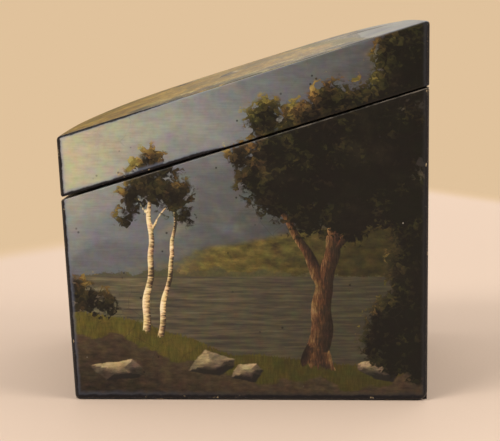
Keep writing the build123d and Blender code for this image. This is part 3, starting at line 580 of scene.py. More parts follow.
class Tree:
    """One material, or the world, and short names for the nodes that it is made of."""

    def __init__(self, owner: str | bpy.types.World) -> None:
        """Start a material with a shader and an output, or a world with an output.

        Args:
            owner: The new material's name, or the world.
        """
        named = isinstance(owner, str)
        self.owner = bpy.data.materials.new(owner) if named else owner
        self.owner.use_nodes = True
        self.nodes = self.owner.node_tree.nodes
        self.nodes.clear()
        self.output = self.add("OutputMaterial" if named else "OutputWorld")
        if named:
            self.shader = self.add("BsdfPrincipled")
            self.join(self.shader.outputs[0], self.output.inputs["Surface"])

    def join(self, source: Value | tuple | None, target: Socket) -> None:
        """Link a socket to an input, or set the input where the source is a plain value.

        Args:
            source: A socket, a number, a colour, or None to leave the input alone.
            target: The input.
        """
        if isinstance(source, Socket):
            self.owner.node_tree.links.new(source, target)
        elif source is not None:
            target.default_value = source

    def add(self, kind: str, inputs: dict | None = None, **settings: str | int) -> bpy.types.Node:
        """Add a node.

        Args:
            kind: The node's type, after "ShaderNode".
            inputs: Sockets or values for its inputs, by name or number.
            settings: Its options.

        Returns:
            The node.
        """
        node = self.nodes.new(f"ShaderNode{kind}")
        for key, value in settings.items():
            setattr(node, key, value)
        for key, value in (inputs or {}).items():
            self.join(value, node.inputs[key])
        return node

    def set(self, **inputs: Value | tuple) -> None:
        """Fill the shader's inputs; an underscore in a name stands for a space."""
        for key, value in inputs.items():
            self.join(value, self.shader.inputs[key.replace("_", " ")])

    def place(self, stretch: Triple = (1, 1, 1), turn: Triple = (0, 0, 0),
              source: Socket | None = None) -> Socket:
        """Places on the piece, scaled and turned.

        Args:
            stretch: Scale along each axis.
            turn: Turn about each axis.
            source: Other places than Object coordinates.

        Returns:
            The new places.
        """
        if source is None:
            source = self.add("TexCoord").outputs["Object"]
        node = self.add("Mapping", {"Vector": source, "Scale": stretch, "Rotation": turn})
        return node.outputs[0]

    def noise(self, vector: Socket, scale: float, detail: float = 4.0, rough: float = 0.55,
              warp: float = 0.0) -> Socket:
        """Fractal noise from about 0 to 1 with its middle at 0.5.

        Args:
            vector: Where it is read.
            scale: Waves in a metre.
            detail: Number of finer layers.
            rough: Strength of each finer layer.
            warp: How far it is pushed about by itself.

        Returns:
            The noise.
        """
        node = self.add("TexNoise", {
            "Vector": vector, "Scale": scale, "Detail": detail, "Roughness": rough,
            "Distortion": warp})
        return node.outputs["Fac"]

    def tints(self, vector: Socket, scale: float, detail: float = 3.0,
              rough: float = 0.5) -> Socket:
        """Coloured noise, or three noises as one vector.

        Args:
            vector: Where it is read.
            scale: Waves in a metre.
            detail: Number of finer layers.
            rough: Strength of each finer layer.

        Returns:
            The colour.
        """
        node = self.add("TexNoise", {
            "Vector": vector, "Scale": scale, "Detail": detail, "Roughness": rough})
        return node.outputs["Color"]

    def cells(self, vector: Socket, scale: float, feature: str = "F1") -> bpy.types.Node:
        """Voronoi cells: the node, whose Distance and Color are read from it."""
        return self.add("TexVoronoi", {"Vector": vector, "Scale": scale}, feature=feature)

    def cell_value(self, cells: bpy.types.Node) -> Socket:
        """One number for each cell, from 0 to 1."""
        return self.add("SeparateColor", {"Color": cells.outputs["Color"]}).outputs[0]

    def pushed(self, vector: Socket, scale: float, reach: Triple) -> Socket:
        """Places pushed about by coloured noise: place + reach * noise.

        Args:
            vector: The places.
            scale: Waves of the noise in a metre.
            reach: Longest push along each axis.

        Returns:
            The pushed places.
        """
        step = self.add("VectorMath", {0: self.tints(vector, scale), 1: reach},
                        operation="MULTIPLY")
        return self.add("VectorMath", {0: vector, 1: step.outputs[0]},
                        operation="ADD").outputs[0]

    def sum(self, *terms: Value) -> Value:
        """Sum of terms, one node for each after the first.

        Args:
            terms: Sockets and numbers.

        Returns:
            The sum.
        """
        total = terms[0]
        for term in terms[1:]:
            total = self.math("ADD", total, term)
        return total

    def math(self, operation: str, a: Value, b: Value) -> Socket:
        """One step of arithmetic."""
        return self.add("Math", {0: a, 1: b}, operation=operation).outputs[0]

    def times(self, a: Value, b: Value) -> Socket:
        """Product of two sockets or numbers."""
        return self.math("MULTIPLY", a, b)

    def swing(self, value: Socket, amount: float) -> Socket:
        """A value from 0 to 1 as a swing from minus to plus half of amount."""
        return self.times(self.math("SUBTRACT", value, 0.5), amount)

    def band(self, value: Socket, low: float, high: float, to_low: float = 0.0,
             to_high: float = 1.0) -> Socket:
        """Smooth step of a value.

        Args:
            value: The value.
            low: Where the step starts.
            high: Where it ends.
            to_low: The result up to the start.
            to_high: The result from the end on.

        Returns:
            The result.
        """
        node = self.add("MapRange", {
            "Value": value, "From Min": low, "From Max": high, "To Min": to_low, "To Max": to_high},
            interpolation_type="SMOOTHSTEP")
        return node.outputs["Result"]

    def mix(self, share: Value, a: Hue, b: Hue, blend: str = "MIX") -> Socket:
        """Two colours mixed.

        Args:
            share: Share of the second colour.
            a: The first colour.
            b: The second colour.
            blend: Way of mixing.

        Returns:
            The mixed colour.
        """
        node = self.add("Mix", {0: share, 6: hue(a), 7: hue(b)}, data_type="RGBA", blend_type=blend)
        return node.outputs[2]

    def ramp(self, value: Value, *stops: tuple[float, int]) -> Socket:
        """Colours along a value.

        Args:
            value: The value.
            stops: A place and a screen's 0xRRGGBB each.

        Returns:
            The colour.
        """
        node = self.add("ValToRGB", {"Fac": value})
        ramp = node.color_ramp
        while len(ramp.elements) < len(stops):
            ramp.elements.new(0.5)
        for element, (place, colour) in zip(ramp.elements, stops):
            element.position = place
            element.color = paint(colour)
        return node.outputs["Color"]

    def attribute(self, name: str) -> tuple[Socket, Socket, Socket]:
        """The three numbers of a vertex attribute.

        Args:
            name: The attribute's name.

        Returns:
            The numbers.
        """
        node = self.add("Attribute", attribute_name=name)
        split = self.add("SeparateXYZ", {"Vector": node.outputs["Vector"]})
        return split.outputs[0], split.outputs[1], split.outputs[2]

    def bump(self, height: Value, distance: float, strength: float) -> Socket:
        """Bump of a height in units of distance."""
        return self.add("Bump", {
            "Height": height, "Distance": distance, "Strength": strength}).outputs["Normal"]


# Finishes.
@dataclass
class Canvas:
    """Fields of the painting as sockets, and its steps from the far to the near."""

    t: Tree
    panel: Socket  # place on the face
    grounds: tuple  # inside the hills, the far woods and the lake
    near: tuple  # inside the bank and the earth, and the dusk
    forms: tuple  # inside the leaves, dark trunks and pale trunks
    lights: tuple  # on the leaves, across the trunks, on the rocks
    rock: Socket  # inside the boulders
    wobble: Socket  # noise that roughens the outlines

    def sky(self) -> Socket:
        """Soft clouds over a sky that darkens with the tone.

        Returns:
            The colour.
        """
        t, panel, tone = self.t, self.panel, self.near[2]
        clouds = t.noise(t.place((9, 26, 1), source=panel), 2.2, 5, 0.6, 0.4)
        veil = t.noise(t.place((30, 60, 1), source=panel), 3.0, 4, 0.6)
        dusk = t.sum(tone, t.swing(clouds, 0.36), t.swing(veil, 0.12))
        sky = t.ramp(dusk, (0.0, 0xb2ad92), (0.2, 0x92948b), (0.42, 0x6f7377), (0.66, 0x57595b),
                     (1.0, 0x2a2825))
        warm = t.noise(t.place((14, 14, 1), source=panel), 4.1, 3)
        tinted = t.mix(t.band(warm, 0.52, 0.75, 0, 0.35), sky, 0x968c64)
        cool = t.noise(t.place((11, 20, 1), source=panel), 5.3, 3)
        return t.mix(t.band(cool, 0.5, 0.8, 0, 0.3), tinted, 0x767a86)

    def distance(self, colour: Socket) -> Socket:
        """Misty hills, the far shore's woods and the lake with its level streaks.

        Args:
            colour: What is painted so far.

        Returns:
            The colour.
        """
        t, panel, wobble, tone = self.t, self.panel, self.wobble, self.near[2]
        hill, woods, lake = self.grounds
        mist = t.band(t.sum(hill, t.swing(wobble, 4.0)), -1.5, 2.5, 0, 0.62)
        slope = t.noise(t.place((60, 110, 1), (0, 0, 0.5), panel), 3.0, 5, 0.62)
        meadow = t.ramp(slope, (0.28, 0x342e16), (0.5, 0x5e5424), (0.72, 0x847436))
        meadow = t.mix(t.band(tone, 0.7, 1.05, 0, 0.8), meadow, 0x1e1c11)
        hills = t.mix(t.noise(panel, 160, 4), 0x424650, 0x626264)
        hills = t.mix(t.band(t.sum(tone, t.swing(slope, 0.3)), 0.52, 0.72), hills, meadow)
        mist = t.times(mist, t.band(lake, -16, -1, 1.0, 0.5))
        mist = t.math("MAXIMUM", mist,
                      t.times(t.band(hill, -1.2, 1.6, 0, 0.92), t.band(tone, 0.55, 0.75)))
        colour = t.mix(mist, colour, hills)
        leafy = t.noise(panel, 900, 4, 0.65)
        edge = t.band(t.sum(woods, t.swing(leafy, 3.6)), -0.3, 0.5, 0, 0.85)
        colour = t.mix(edge, colour, t.mix(leafy, 0x2e2d22, 0x5c583a))
        streak = t.noise(t.place((30, 420, 1), source=panel), 2.0, 5, 0.6)
        water = t.ramp(streak, (0.25, 0x423e38), (0.45, 0x645d4c), (0.6, 0x807558),
                       (0.78, 0x968f7a))
        water = t.mix(t.times(tone, 0.75), water, 0x24221c)
        return t.mix(t.band(lake, -0.2, 0.35), colour, water)

    def foreground(self, colour: Socket) -> Socket:
        """Grass bank with short strokes, bare earth under it, and boulders.

        Args:
            colour: What is painted so far.

        Returns:
            The colour.
        """
        t, panel, wobble = self.t, self.panel, self.wobble
        bank, earth, tone = self.near
        blades = t.noise(t.place((560, 90, 1), (0, 0, 0.25), panel), 2.4, 4, 0.72)
        fringe = t.sum(bank, t.swing(blades, 5.0), t.swing(wobble, 1.2))
        patches = t.noise(panel, 90, 4)
        grass = t.ramp(t.sum(t.times(blades, 0.55), t.times(patches, 0.5)), (0.3, 0x3c3818),
                       (0.5, 0x675d23), (0.64, 0x84752e), (0.82, 0xa8964e))
        grass = t.mix(t.times(tone, 0.75), grass, 0x222111)
        colour = t.mix(t.band(fringe, -0.2, 0.4), colour, grass)
        clods = t.noise(t.place((90, 190, 1), source=panel), 3.0, 5, 0.62)
        depth = t.sum(earth, t.swing(clods, 5.0))
        soil = t.ramp(t.sum(clods, t.band(earth, 0, 26, 0.14, -0.16)), (0.25, 0x28231d),
                      (0.45, 0x483b2e), (0.62, 0x64513c), (0.85, 0x806a48))
        soil = t.mix(t.band(tone, 0.15, 0.7, 0, 0.68), soil, 0x16130f)
        warm = t.band(tone, -0.6, -0.05, 0.9, 0)
        soil = t.mix(warm, soil, t.ramp(
            t.sum(t.times(clods, 0.5), t.times(t.noise(panel, 50, 5, 0.6), 0.5)),
            (0.34, 0x584214), (0.48, 0x907126), (0.6, 0xba963a),
            (0.75, 0xd0ae58)))
        tufted = t.times(warm, t.band(t.noise(panel, 42, 5, 0.7), 0.48, 0.62, 0, 0.62))
        soil = t.mix(tufted, soil, t.mix(0.3, grass, 0x3c3418))
        colour = t.mix(t.band(depth, -0.6, 0.8), colour, soil)
        stone = t.ramp(t.sum(t.times(self.lights[2], 0.34), t.times(clods, 0.7)), (0.08, 0x1e1b19),
                       (0.36, 0x463c32), (0.58, 0x74644e), (0.86, 0xbaa47a))
        return t.mix(t.band(t.sum(self.rock, t.swing(wobble, 1.6)), -0.2, 0.25), colour, stone)

    def trees(self, colour: Socket) -> Socket:
        """Bark with a lit side, and leaf masses built from dabs in three sizes.

        Args:
            colour: What is painted so far.

        Returns:
            The colour.
        """
        t, panel, (bank, _, tone) = self.t, self.panel, self.near
        crown, trunk, pale = self.forms
        crown_light, across, _ = self.lights
        tufts = t.noise(t.place((640, 90, 1), (0, 0, 0.1), panel), 2.2, 4, 0.7)
        free = t.band(t.sum(bank, t.swing(tufts, 7.0)), 2.2, 3.0, 1, 0)
        ridges = t.noise(t.place((900, 160, 1), source=panel), 1.6, 4, 0.7)
        bark = t.ramp(t.sum(t.times(across, -0.26), ridges), (0.2, 0x1c1612), (0.46, 0x402d21),
                      (0.66, 0x7a5232), (0.9, 0xc49e68))
        bark = t.mix(t.times(tone, 0.5), bark, 0x1c1713)
        dark = t.band(t.sum(trunk, t.swing(ridges, 0.9)), -0.12, 0.18)
        colour = t.mix(t.times(dark, free), colour, bark)
        scars = t.noise(t.place((180, 900, 1), source=panel), 1.4, 3, 0.7)
        birch = t.ramp(t.sum(t.times(across, -0.22), scars), (0.3, 0x342a22), (0.44, 0x967c58),
                       (0.58, 0xdabe8c), (0.8, 0xf0deb4))
        light = t.band(t.sum(pale, t.swing(ridges, 0.4)), -0.1, 0.12)
        colour = t.mix(t.times(light, free), colour, birch)
        spot = t.pushed(panel, 420, (0.0026, 0.0026, 0.0))
        dabs, fine = t.cells(spot, 430), t.cells(t.place((1.0, 1.35, 1), (0, 0, 0.6), spot), 900)
        dab, fleck = t.cell_value(dabs), t.cell_value(fine)
        edge = t.sum(crown, t.swing(dab, 4.6), t.swing(fleck, 2.2))
        value = t.sum(t.times(crown_light, 0.24), t.times(dab, 0.34),
                      t.times(fleck, 0.24), t.band(crown, 0, 9, 0.16, -0.04))
        value = t.math("SUBTRACT", value, t.times(tone, 0.26))
        leaves = t.ramp(value, (0.12, 0x0e0c0a), (0.34, 0x211c13), (0.5, 0x443520),
                        (0.64, 0x6c522b), (0.78, 0x947a42), (0.93, 0xc8b47c))
        green = t.noise(panel, 60, 3)
        leaves = t.mix(t.band(green, 0.4, 0.6, 0.1, 0.8), leaves, t.ramp(
            value, (0.15, 0x0f100a), (0.5, 0x3a391b), (0.85, 0x867e3c)))
        return t.mix(t.band(edge, -0.9, 1.0), colour, leaves)


@dataclass(frozen=True)
class LandscapePaint:
    """Oil landscape on wood under an aged varnish, with black lacquered rims."""

    name: str = "landscape_paint"
    varnish: float = 0.1
    gloss: float = 0.36

    def material(self) -> Material:
        """Build the painting from the far to the near, then its age and its black rims.

        Returns:
            The material.
        """
        t = Tree(self.name)
        panel = t.add("Attribute", attribute_name="panel").outputs["Vector"]
        rim, seam, skin = t.attribute("edges")
        rock = t.add("Attribute", attribute_name="rock").outputs["Fac"]
        wobble = t.noise(panel, 240, 4, 0.6)
        fields = (t.attribute(name) for name in ("grounds", "near", "forms", "lights"))
        canvas = Canvas(t, panel, *fields, rock, wobble)
        tone = canvas.near[2]
        colour = canvas.trees(canvas.foreground(canvas.distance(canvas.sky())))

        strokes = t.noise(t.place((46, 560, 1), source=panel), 2.6, 5, 0.68)
        weave = t.noise(t.place((900, 60, 1), source=panel), 1.5, 3, 0.6)
        colour = t.mix(0.4, colour, t.ramp(
            strokes, (0.3, 0xa4a09c), (0.5, 0xbcbcbc), (0.7, 0xd4d2cc)),
            "OVERLAY")
        colour = t.mix(0.3, colour, t.tints(panel, 260, 4, 0.6), "OVERLAY")
        colour = t.mix(t.band(weave, 0.46, 0.66, 0, 0.3), colour, 0xc4beac, "SOFT_LIGHT")
        grime = t.noise(panel, 34, 6, 0.7)
        colour = t.mix(t.band(grime, 0.5, 0.78, 0, 0.3), colour, 0x3a3222)
        pits, specks = t.cells(panel, 230), t.cells(panel, 150)
        many = t.noise(panel, 46, 2)
        pit = t.times(t.band(pits.outputs["Distance"], 0.06, 0.13, 1, 0), t.band(many, 0.46, 0.56))
        colour = t.mix(t.times(pit, 0.85), colour, 0x1a1716)
        speck = t.times(t.band(specks.outputs["Distance"], 0.015, 0.05, 1, 0),
                        t.band(many, 0.36, 0.46, 0.6, 0))
        colour = t.mix(speck, colour, 0xc4bcac)
        crackle = t.cells(t.pushed(panel, 90, (0.006,) * 3), 120, "DISTANCE_TO_EDGE")
        crack = t.times(t.band(crackle.outputs["Distance"], 0.004, 0.02, 1, 0),
                       t.band(t.noise(panel, 22, 3), 0.5, 0.66, 0, 0.4))
        colour = t.mix(crack, colour, 0x28221c)

        ragged = t.noise(panel, 330, 5, 0.65)
        fade = t.band(t.sum(rim, t.swing(ragged, 1.0), t.swing(wobble, 1.3)), 1.3, 2.9, 0.6, 0)
        colour = t.mix(fade, colour, t.mix(tone, 0x768098, 0x28282a))
        black = t.band(t.sum(rim, t.swing(ragged, 1.0), t.swing(wobble, 0.9)), 1.15, 1.8, 1, 0)
        lacquer = t.mix(t.noise(panel, 380, 4), 0x08080b, 0x16161e)
        colour = t.mix(black, colour, lacquer)
        scuff = t.noise(t.place((120, 120, 1), source=panel), 3.4, 6, 0.75)
        worn = t.times(t.band(scuff, 0.56, 0.66), t.band(rim, 0.25, 1.2, 0.75, 0))
        colour = t.mix(worn, colour, 0x707482)
        chip = t.times(t.band(t.noise(panel, 190, 5, 0.7), 0.61, 0.64), t.band(rim, 0.5, 1.6, 1, 0))
        colour = t.mix(chip, colour, 0xbca884)
        rub = t.band(t.sum(seam, t.swing(ragged, 0.6)), 0.1, 0.55, 1, 0)
        rubbed = t.times(rub, t.band(t.noise(panel, 110, 5, 0.65), 0.4, 0.62, 0.08, 0.75))
        colour = t.mix(rubbed, colour, 0x7a7064)

        inside = t.band(skin, 0.35, 0.9)
        cut = t.mix(t.noise(panel, 200, 5), 0x100e0d, 0x241f1c)
        colour = t.mix(inside, colour, cut)
        gloss = t.sum(t.times(strokes, 0.16), t.times(grime, 0.22), self.gloss - 0.16)
        rough = t.sum(gloss, t.times(t.math("MAXIMUM", worn, chip), 0.3))
        t.set(Base_Color=colour, Roughness=rough, Coat_Weight=self.varnish, Coat_Roughness=0.16,
              IOR=1.5, Specular_IOR_Level=0.22)
        relief = t.sum(t.times(strokes, 0.5), t.times(weave, 0.3),
                       t.times(pit, -1.2), t.times(crack, -0.8),
                       t.times(chip, -1.6), t.times(black, 0.5))
        t.set(Normal=t.bump(relief, 0.00006, 0.7))
        return t.owner


@dataclass(frozen=True)
class Lacquer:
    """Black lacquer, rubbed and dusty, over wood."""

    name: str = "black_lacquer"
    deep: int = 0x0d0c0d
    dusty: int = 0x2c2723
    rough: float = 0.34

    def material(self) -> Material:
        """Deep black with dust, brush marks and fine rubbed lines.

        Returns:
            The material.
        """
        t = Tree(self.name)
        place = t.place()
        dust = t.noise(place, 60, 6, 0.68)
        lines = t.noise(t.place((60, 60, 900)), 1.2, 4, 0.7)
        colour = t.mix(t.band(dust, 0.42, 0.72), self.deep, self.dusty)
        rubbed = t.band(lines, 0.6, 0.72, 0, 0.4)
        colour = t.mix(rubbed, colour, 0x544638)
        t.set(Base_Color=colour, Roughness=t.sum(t.times(dust, 0.3), self.rough - 0.12),
              Coat_Weight=0.25, Coat_Roughness=0.2,
              Normal=t.bump(t.sum(lines, t.times(dust, 0.6)), 0.00008, 0.6))
        return t.owner


@dataclass(frozen=True)
class Timber:
    """Wood whose grain runs along the width, plain or polished."""

    name: str
    pale: int
    mid: int
    dark: int
    rough: float
    coat: float
    ring: float = 260.0
    relief: float = 0.0001
    soiled: int = 0x281e16
    soil: float = 0.35
    along: tuple = (1.0, 0.07, 1.0)
    figure: float = 0.3

    def material(self) -> Material:
        """Growth rings warped by slow noise, fine pores along the grain, and soiling.

        Returns:
            The material.
        """
        t = Tree(self.name)
        place = t.place(self.along)
        slow = t.noise(place, 28, 3, 0.5, 0.6)
        rings = t.add("TexWave", {
            "Vector": place, "Scale": self.ring / 6.28, "Distortion": 9.0, "Detail": 3.0,
            "Detail Scale": 1.4, "Detail Roughness": 0.6},
            bands_direction="DIAGONAL").outputs["Fac"]
        pores = t.noise(t.place((1, 0.03, 1)), 1500, 3, 0.7)
        value = t.sum(t.times(rings, self.figure), t.times(slow, 0.92 - self.figure))
        colour = t.ramp(value, (0.15, self.dark), (0.48, self.mid), (0.85, self.pale))
        colour = t.mix(t.band(pores, 0.56, 0.7, 0, 0.5), colour, self.dark)
        stain = t.noise(t.place(), 24, 5, 0.65)
        colour = t.mix(t.band(stain, 0.5, 0.75, 0, self.soil), colour, self.soiled)
        t.set(Base_Color=colour, Roughness=t.sum(t.times(pores, 0.14), self.rough - 0.07),
              Coat_Weight=self.coat, Coat_Roughness=0.12,
              Normal=t.bump(t.sum(t.times(pores, -0.8), t.times(rings, 0.4)),
                            self.relief, 0.8))
        return t.owner


@dataclass(frozen=True)
class OldMetal:
    """Sheet or cast metal with tarnish, fine scratches and a dull bloom."""

    name: str
    bright: int
    dull: int
    spot: int
    rough: float
    tarnish: float = 0.5
    grain: tuple = (1.0, 0.12, 1.0)
    metallic: float = 1.0

    def material(self) -> Material:
        """Bright metal under patches of dull tarnish, with darker spots and drawn scratches.

        Returns:
            The material.
        """
        t = Tree(self.name)
        place = t.place()
        bloom = t.noise(place, 150, 5, 0.65, 0.4)
        drawn = t.noise(t.place(self.grain), 2600, 3, 0.7)
        spots = t.noise(place, 620, 4, 0.7)
        patch = t.band(bloom, 0.62 - 0.34 * self.tarnish, 0.86 - 0.3 * self.tarnish)
        colour = t.mix(patch, self.bright, self.dull)
        colour = t.mix(t.band(spots, 0.6, 0.72, 0, 0.85), colour, self.spot)
        colour = t.mix(t.band(drawn, 0.55, 0.75, 0, 0.3), colour, self.dull)
        rough = t.sum(t.times(patch, 0.2), t.times(drawn, 0.16), self.rough - 0.08)
        t.set(Base_Color=colour, Metallic=self.metallic, Roughness=rough,
              Normal=t.bump(t.sum(t.times(drawn, 0.5), t.times(spots, -0.5)),
                            0.00004, 0.7))
        return t.owner


@dataclass(frozen=True)
class PastedPaper:
    """Dull red paper pasted on thin board, faded, with fibres and foxing."""

    name: str = "lid_paper"

    def material(self) -> Material:
        """Two reds by slow noise, pale fibres, brown spots, and a soft tooth.

        Returns:
            The material.
        """
        t = Tree(self.name)
        place = t.place()
        fade = t.noise(place, 20, 5, 0.6)
        fibre = t.noise(t.place((1, 0.2, 1), (0, 0, 0.7)), 1300, 4, 0.75)
        foxing = t.noise(place, 95, 4, 0.6)
        colour = t.mix(t.band(fade, 0.35, 0.7), 0x702c22, 0x8e4a38)
        colour = t.mix(t.band(fibre, 0.58, 0.74, 0, 0.5), colour, 0xb07860)
        colour = t.mix(t.band(foxing, 0.62, 0.72, 0, 0.6), colour, 0x48281a)
        t.set(Base_Color=colour, Roughness=0.86, Normal=t.bump(fibre, 0.0001, 0.7))
        return t.owner


@dataclass(frozen=True)
class TurnedBone:
    """Polished pale bone or fruitwood, yellowed in its hollows."""

    name: str = "turned_knob"

    def material(self) -> Material:
        """Creamy yellow with fine lengthwise pores and brown age in the low places.

        Returns:
            The material.
        """
        t = Tree(self.name)
        place = t.place()
        cloud = t.noise(place, 240, 4, 0.6)
        pores = t.noise(t.place((1, 1, 0.12)), 2400, 3, 0.7)
        colour = t.ramp(cloud, (0.3, 0xb08c58), (0.55, 0xd4ba86), (0.8, 0xe4d0a4))
        colour = t.mix(t.band(pores, 0.58, 0.72, 0, 0.6), colour, 0x785430)
        t.set(Base_Color=colour, Roughness=t.sum(t.times(cloud, 0.12), 0.2),
              Subsurface_Weight=0.08, Subsurface_Scale=0.001, Coat_Weight=0.3,
              Normal=t.bump(t.times(pores, -1.0), 0.00005, 0.6))
        return t.owner


class Palette:
    """Every finish of the caddy, each built once."""

    def __init__(self) -> None:
        """Build the materials."""
        self.painted = LandscapePaint().material()
        self.lacquer = Lacquer().material()
        self.pine = Timber("bare_pine", 0xcca876, 0xac8658, 0x7a5836,
                           0.72, 0.0, 180.0, 0.00018).material()
        self.polished = Timber("polished_inner_lid", 0x8c4c2a, 0x68321b,
                               0x3a1b10, 0.3, 0.4, 420.0, 0.00006, soil=0.25,
                               figure=0.22).material()
        self.brass = OldMetal("aged_brass", 0xceac68, 0x765a32, 0x3a2e1e,
                              0.34, 0.55).material()
        self.fixings = OldMetal("brass_fixings", 0xc4a060, 0x68502e, 0x32281c,
                                0.38, 0.6, (1, 1, 1)).material()
        self.lock_brass = OldMetal("lock_brass", 0xc4a262, 0x7a6038, 0x423422,
                                   0.42, 0.5).material()
        self.steel = OldMetal("lock_steel", 0x96938e, 0x524e4a, 0x462a1a,
                              0.4, 0.6).material()
        self.pewter = OldMetal("tea_pewter", 0xa4a49e, 0x70706c, 0x424240,
                               0.5, 0.7, (1, 1, 0.1)).material()
        self.paper = PastedPaper().material()
        self.bone = TurnedBone().material()


# Surfaces.
def rounded_outline(corners: Array, insets: Array, radii: Array, counts: tuple) -> Array:
    """Outline of a four-sided face, moved in side by side, with its corners rounded.

    Each side moves in along its own normal. A corner's arc is centred where both of its
    sides, moved in by a further radius, meet, and turns from one side's normal to the next.

    Args:
        corners: Four points, counter-clockwise.
        insets: How far each side moves in; side j runs from corner j to the next.
        radii: Radius of each corner before the sides move in.
        counts: Points inside each straight stretch.

    Returns:
        The points in order, from the middle of the first corner's arc.
    """
    along = np.roll(corners, -1, 0) - corners
    along = along / np.linalg.norm(along, axis=1, keepdims=True)
    inward = np.stack([-along[:, 1], along[:, 0]], 1)
    before, inset_before = np.roll(inward, 1, 0), np.roll(insets, 1)
    radius = np.maximum(radii - (insets + inset_before) / 2, FLUSH)
    wanted = np.stack([inset_before + radius, insets + radius], 1)
    centre = corners + np.linalg.solve(np.stack([before, inward], 1), wanted[..., None])[..., 0]
    start = np.arctan2(-before[:, 1], -before[:, 0])
    turn = (np.arctan2(-inward[:, 1], -inward[:, 0]) - start) % (2 * math.pi)

    def arc(corner: int, low: float, high: float) -> Array:
        """Points of a corner's arc between two shares of its turn."""
        angle = start[corner] + turn[corner] * np.linspace(low, high, HALF_ARC + 1)
        return centre[corner] + radius[corner] * np.stack([np.cos(angle), np.sin(angle)], 1)

    pieces = []
    for side in range(4):
        first, last = arc(side, 0.5, 1), arc((side + 1) % 4, 0, 0.5)
        share = np.linspace(0, 1, counts[side] + 2)[1:-1, None]
        pieces += [first, first[-1] + (last[0] - first[-1]) * share, last[:-1]]
    return np.concatenate(pieces)


def along_outline(values: Array, counts: tuple) -> Array:
    """A number for each point of a rounded outline, from one side to the next by the smooth
    step of the share of each corner's turn.

    Args:
        values: The number of each side.
        counts: Points inside each straight stretch.

    Returns:
        The number at each point.
    """
    pieces = []
    for side in range(4):
        before, own, after = values[side - 1], values[side], values[(side + 1) % 4]
        into = smooth(0, 1, np.linspace(0.5, 1, HALF_ARC + 1))
        out = smooth(0, 1, np.linspace(0, 0.5, HALF_ARC + 1)[:-1])
        pieces += [before + (own - before) * into, np.full(counts[side], own),
                   own + (after - own) * out]
    return np.concatenate(pieces)


def filled(ring: Array, counts: tuple) -> Array:
    """Grid that fills a ring of points: the sum of the straight blends between its two
    pairs of sides, less the blend of its four corners.

    Args:
        ring: Points of a rounded outline.
        counts: The outline's counts of inner points, of which opposite ones are alike.

    Returns:
        The grid of points, its first index along the first side.
    """
    a, b = counts[0] + 2 * HALF_ARC + 1, counts[1] + 2 * HALF_ARC + 1
    low, right = ring[:a + 1], ring[a:a + b + 1]
    high, left = ring[a + b:2 * a + b + 1][::-1], np.concatenate([ring[2 * a + b:], ring[:1]])[::-1]

    def shares(one: Array, two: Array) -> Array:
        """Mean place of each point along two opposite sides, from 0 to 1.

        Args:
            one: Points of one side.
            two: Points of the other.

        Returns:
            The places.
        """
        steps = [np.concatenate([[0], np.cumsum(np.linalg.norm(np.diff(side, axis=0), axis=1))])
                 for side in (one, two)]
        return (steps[0] / steps[0][-1] + steps[1] / steps[1][-1]) / 2

    u, v = shares(low, high)[:, None, None], shares(left, right)[None, :, None]
    ruled = (1 - v) * low[:, None] + v * high[:, None] + (1 - u) * left[None] + u * right[None]
    corners = (1 - u) * ((1 - v) * low[0] + v * high[0]) + u * ((1 - v) * low[-1] + v * high[-1])
    return ruled - corners


def grid_faces(rows: int, columns: int, start: int = 0, closed: bool = False) -> Array:
    """Four-sided faces of a grid of points that is stored row by row.

    Args:
        rows: Number of rows.
        columns: Number of columns.
        start: Number of the first point.
        closed: True where the last column joins the first.

    Returns:
        Four numbers for each face.
    """
    own = np.arange(rows - 1)[:, None] * columns
    j = np.arange(columns if closed else columns - 1)[None, :]
    k, after = (j + 1) % columns, own + columns
    return np.stack([own + j, after + j, after + k, own + k], -1).reshape(-1, 4) + start


@dataclass(frozen=True)
class Section:
    """Flat cut through a board: how deep it lies, and its corners as that face is seen."""

    depth: float
    corners: Array


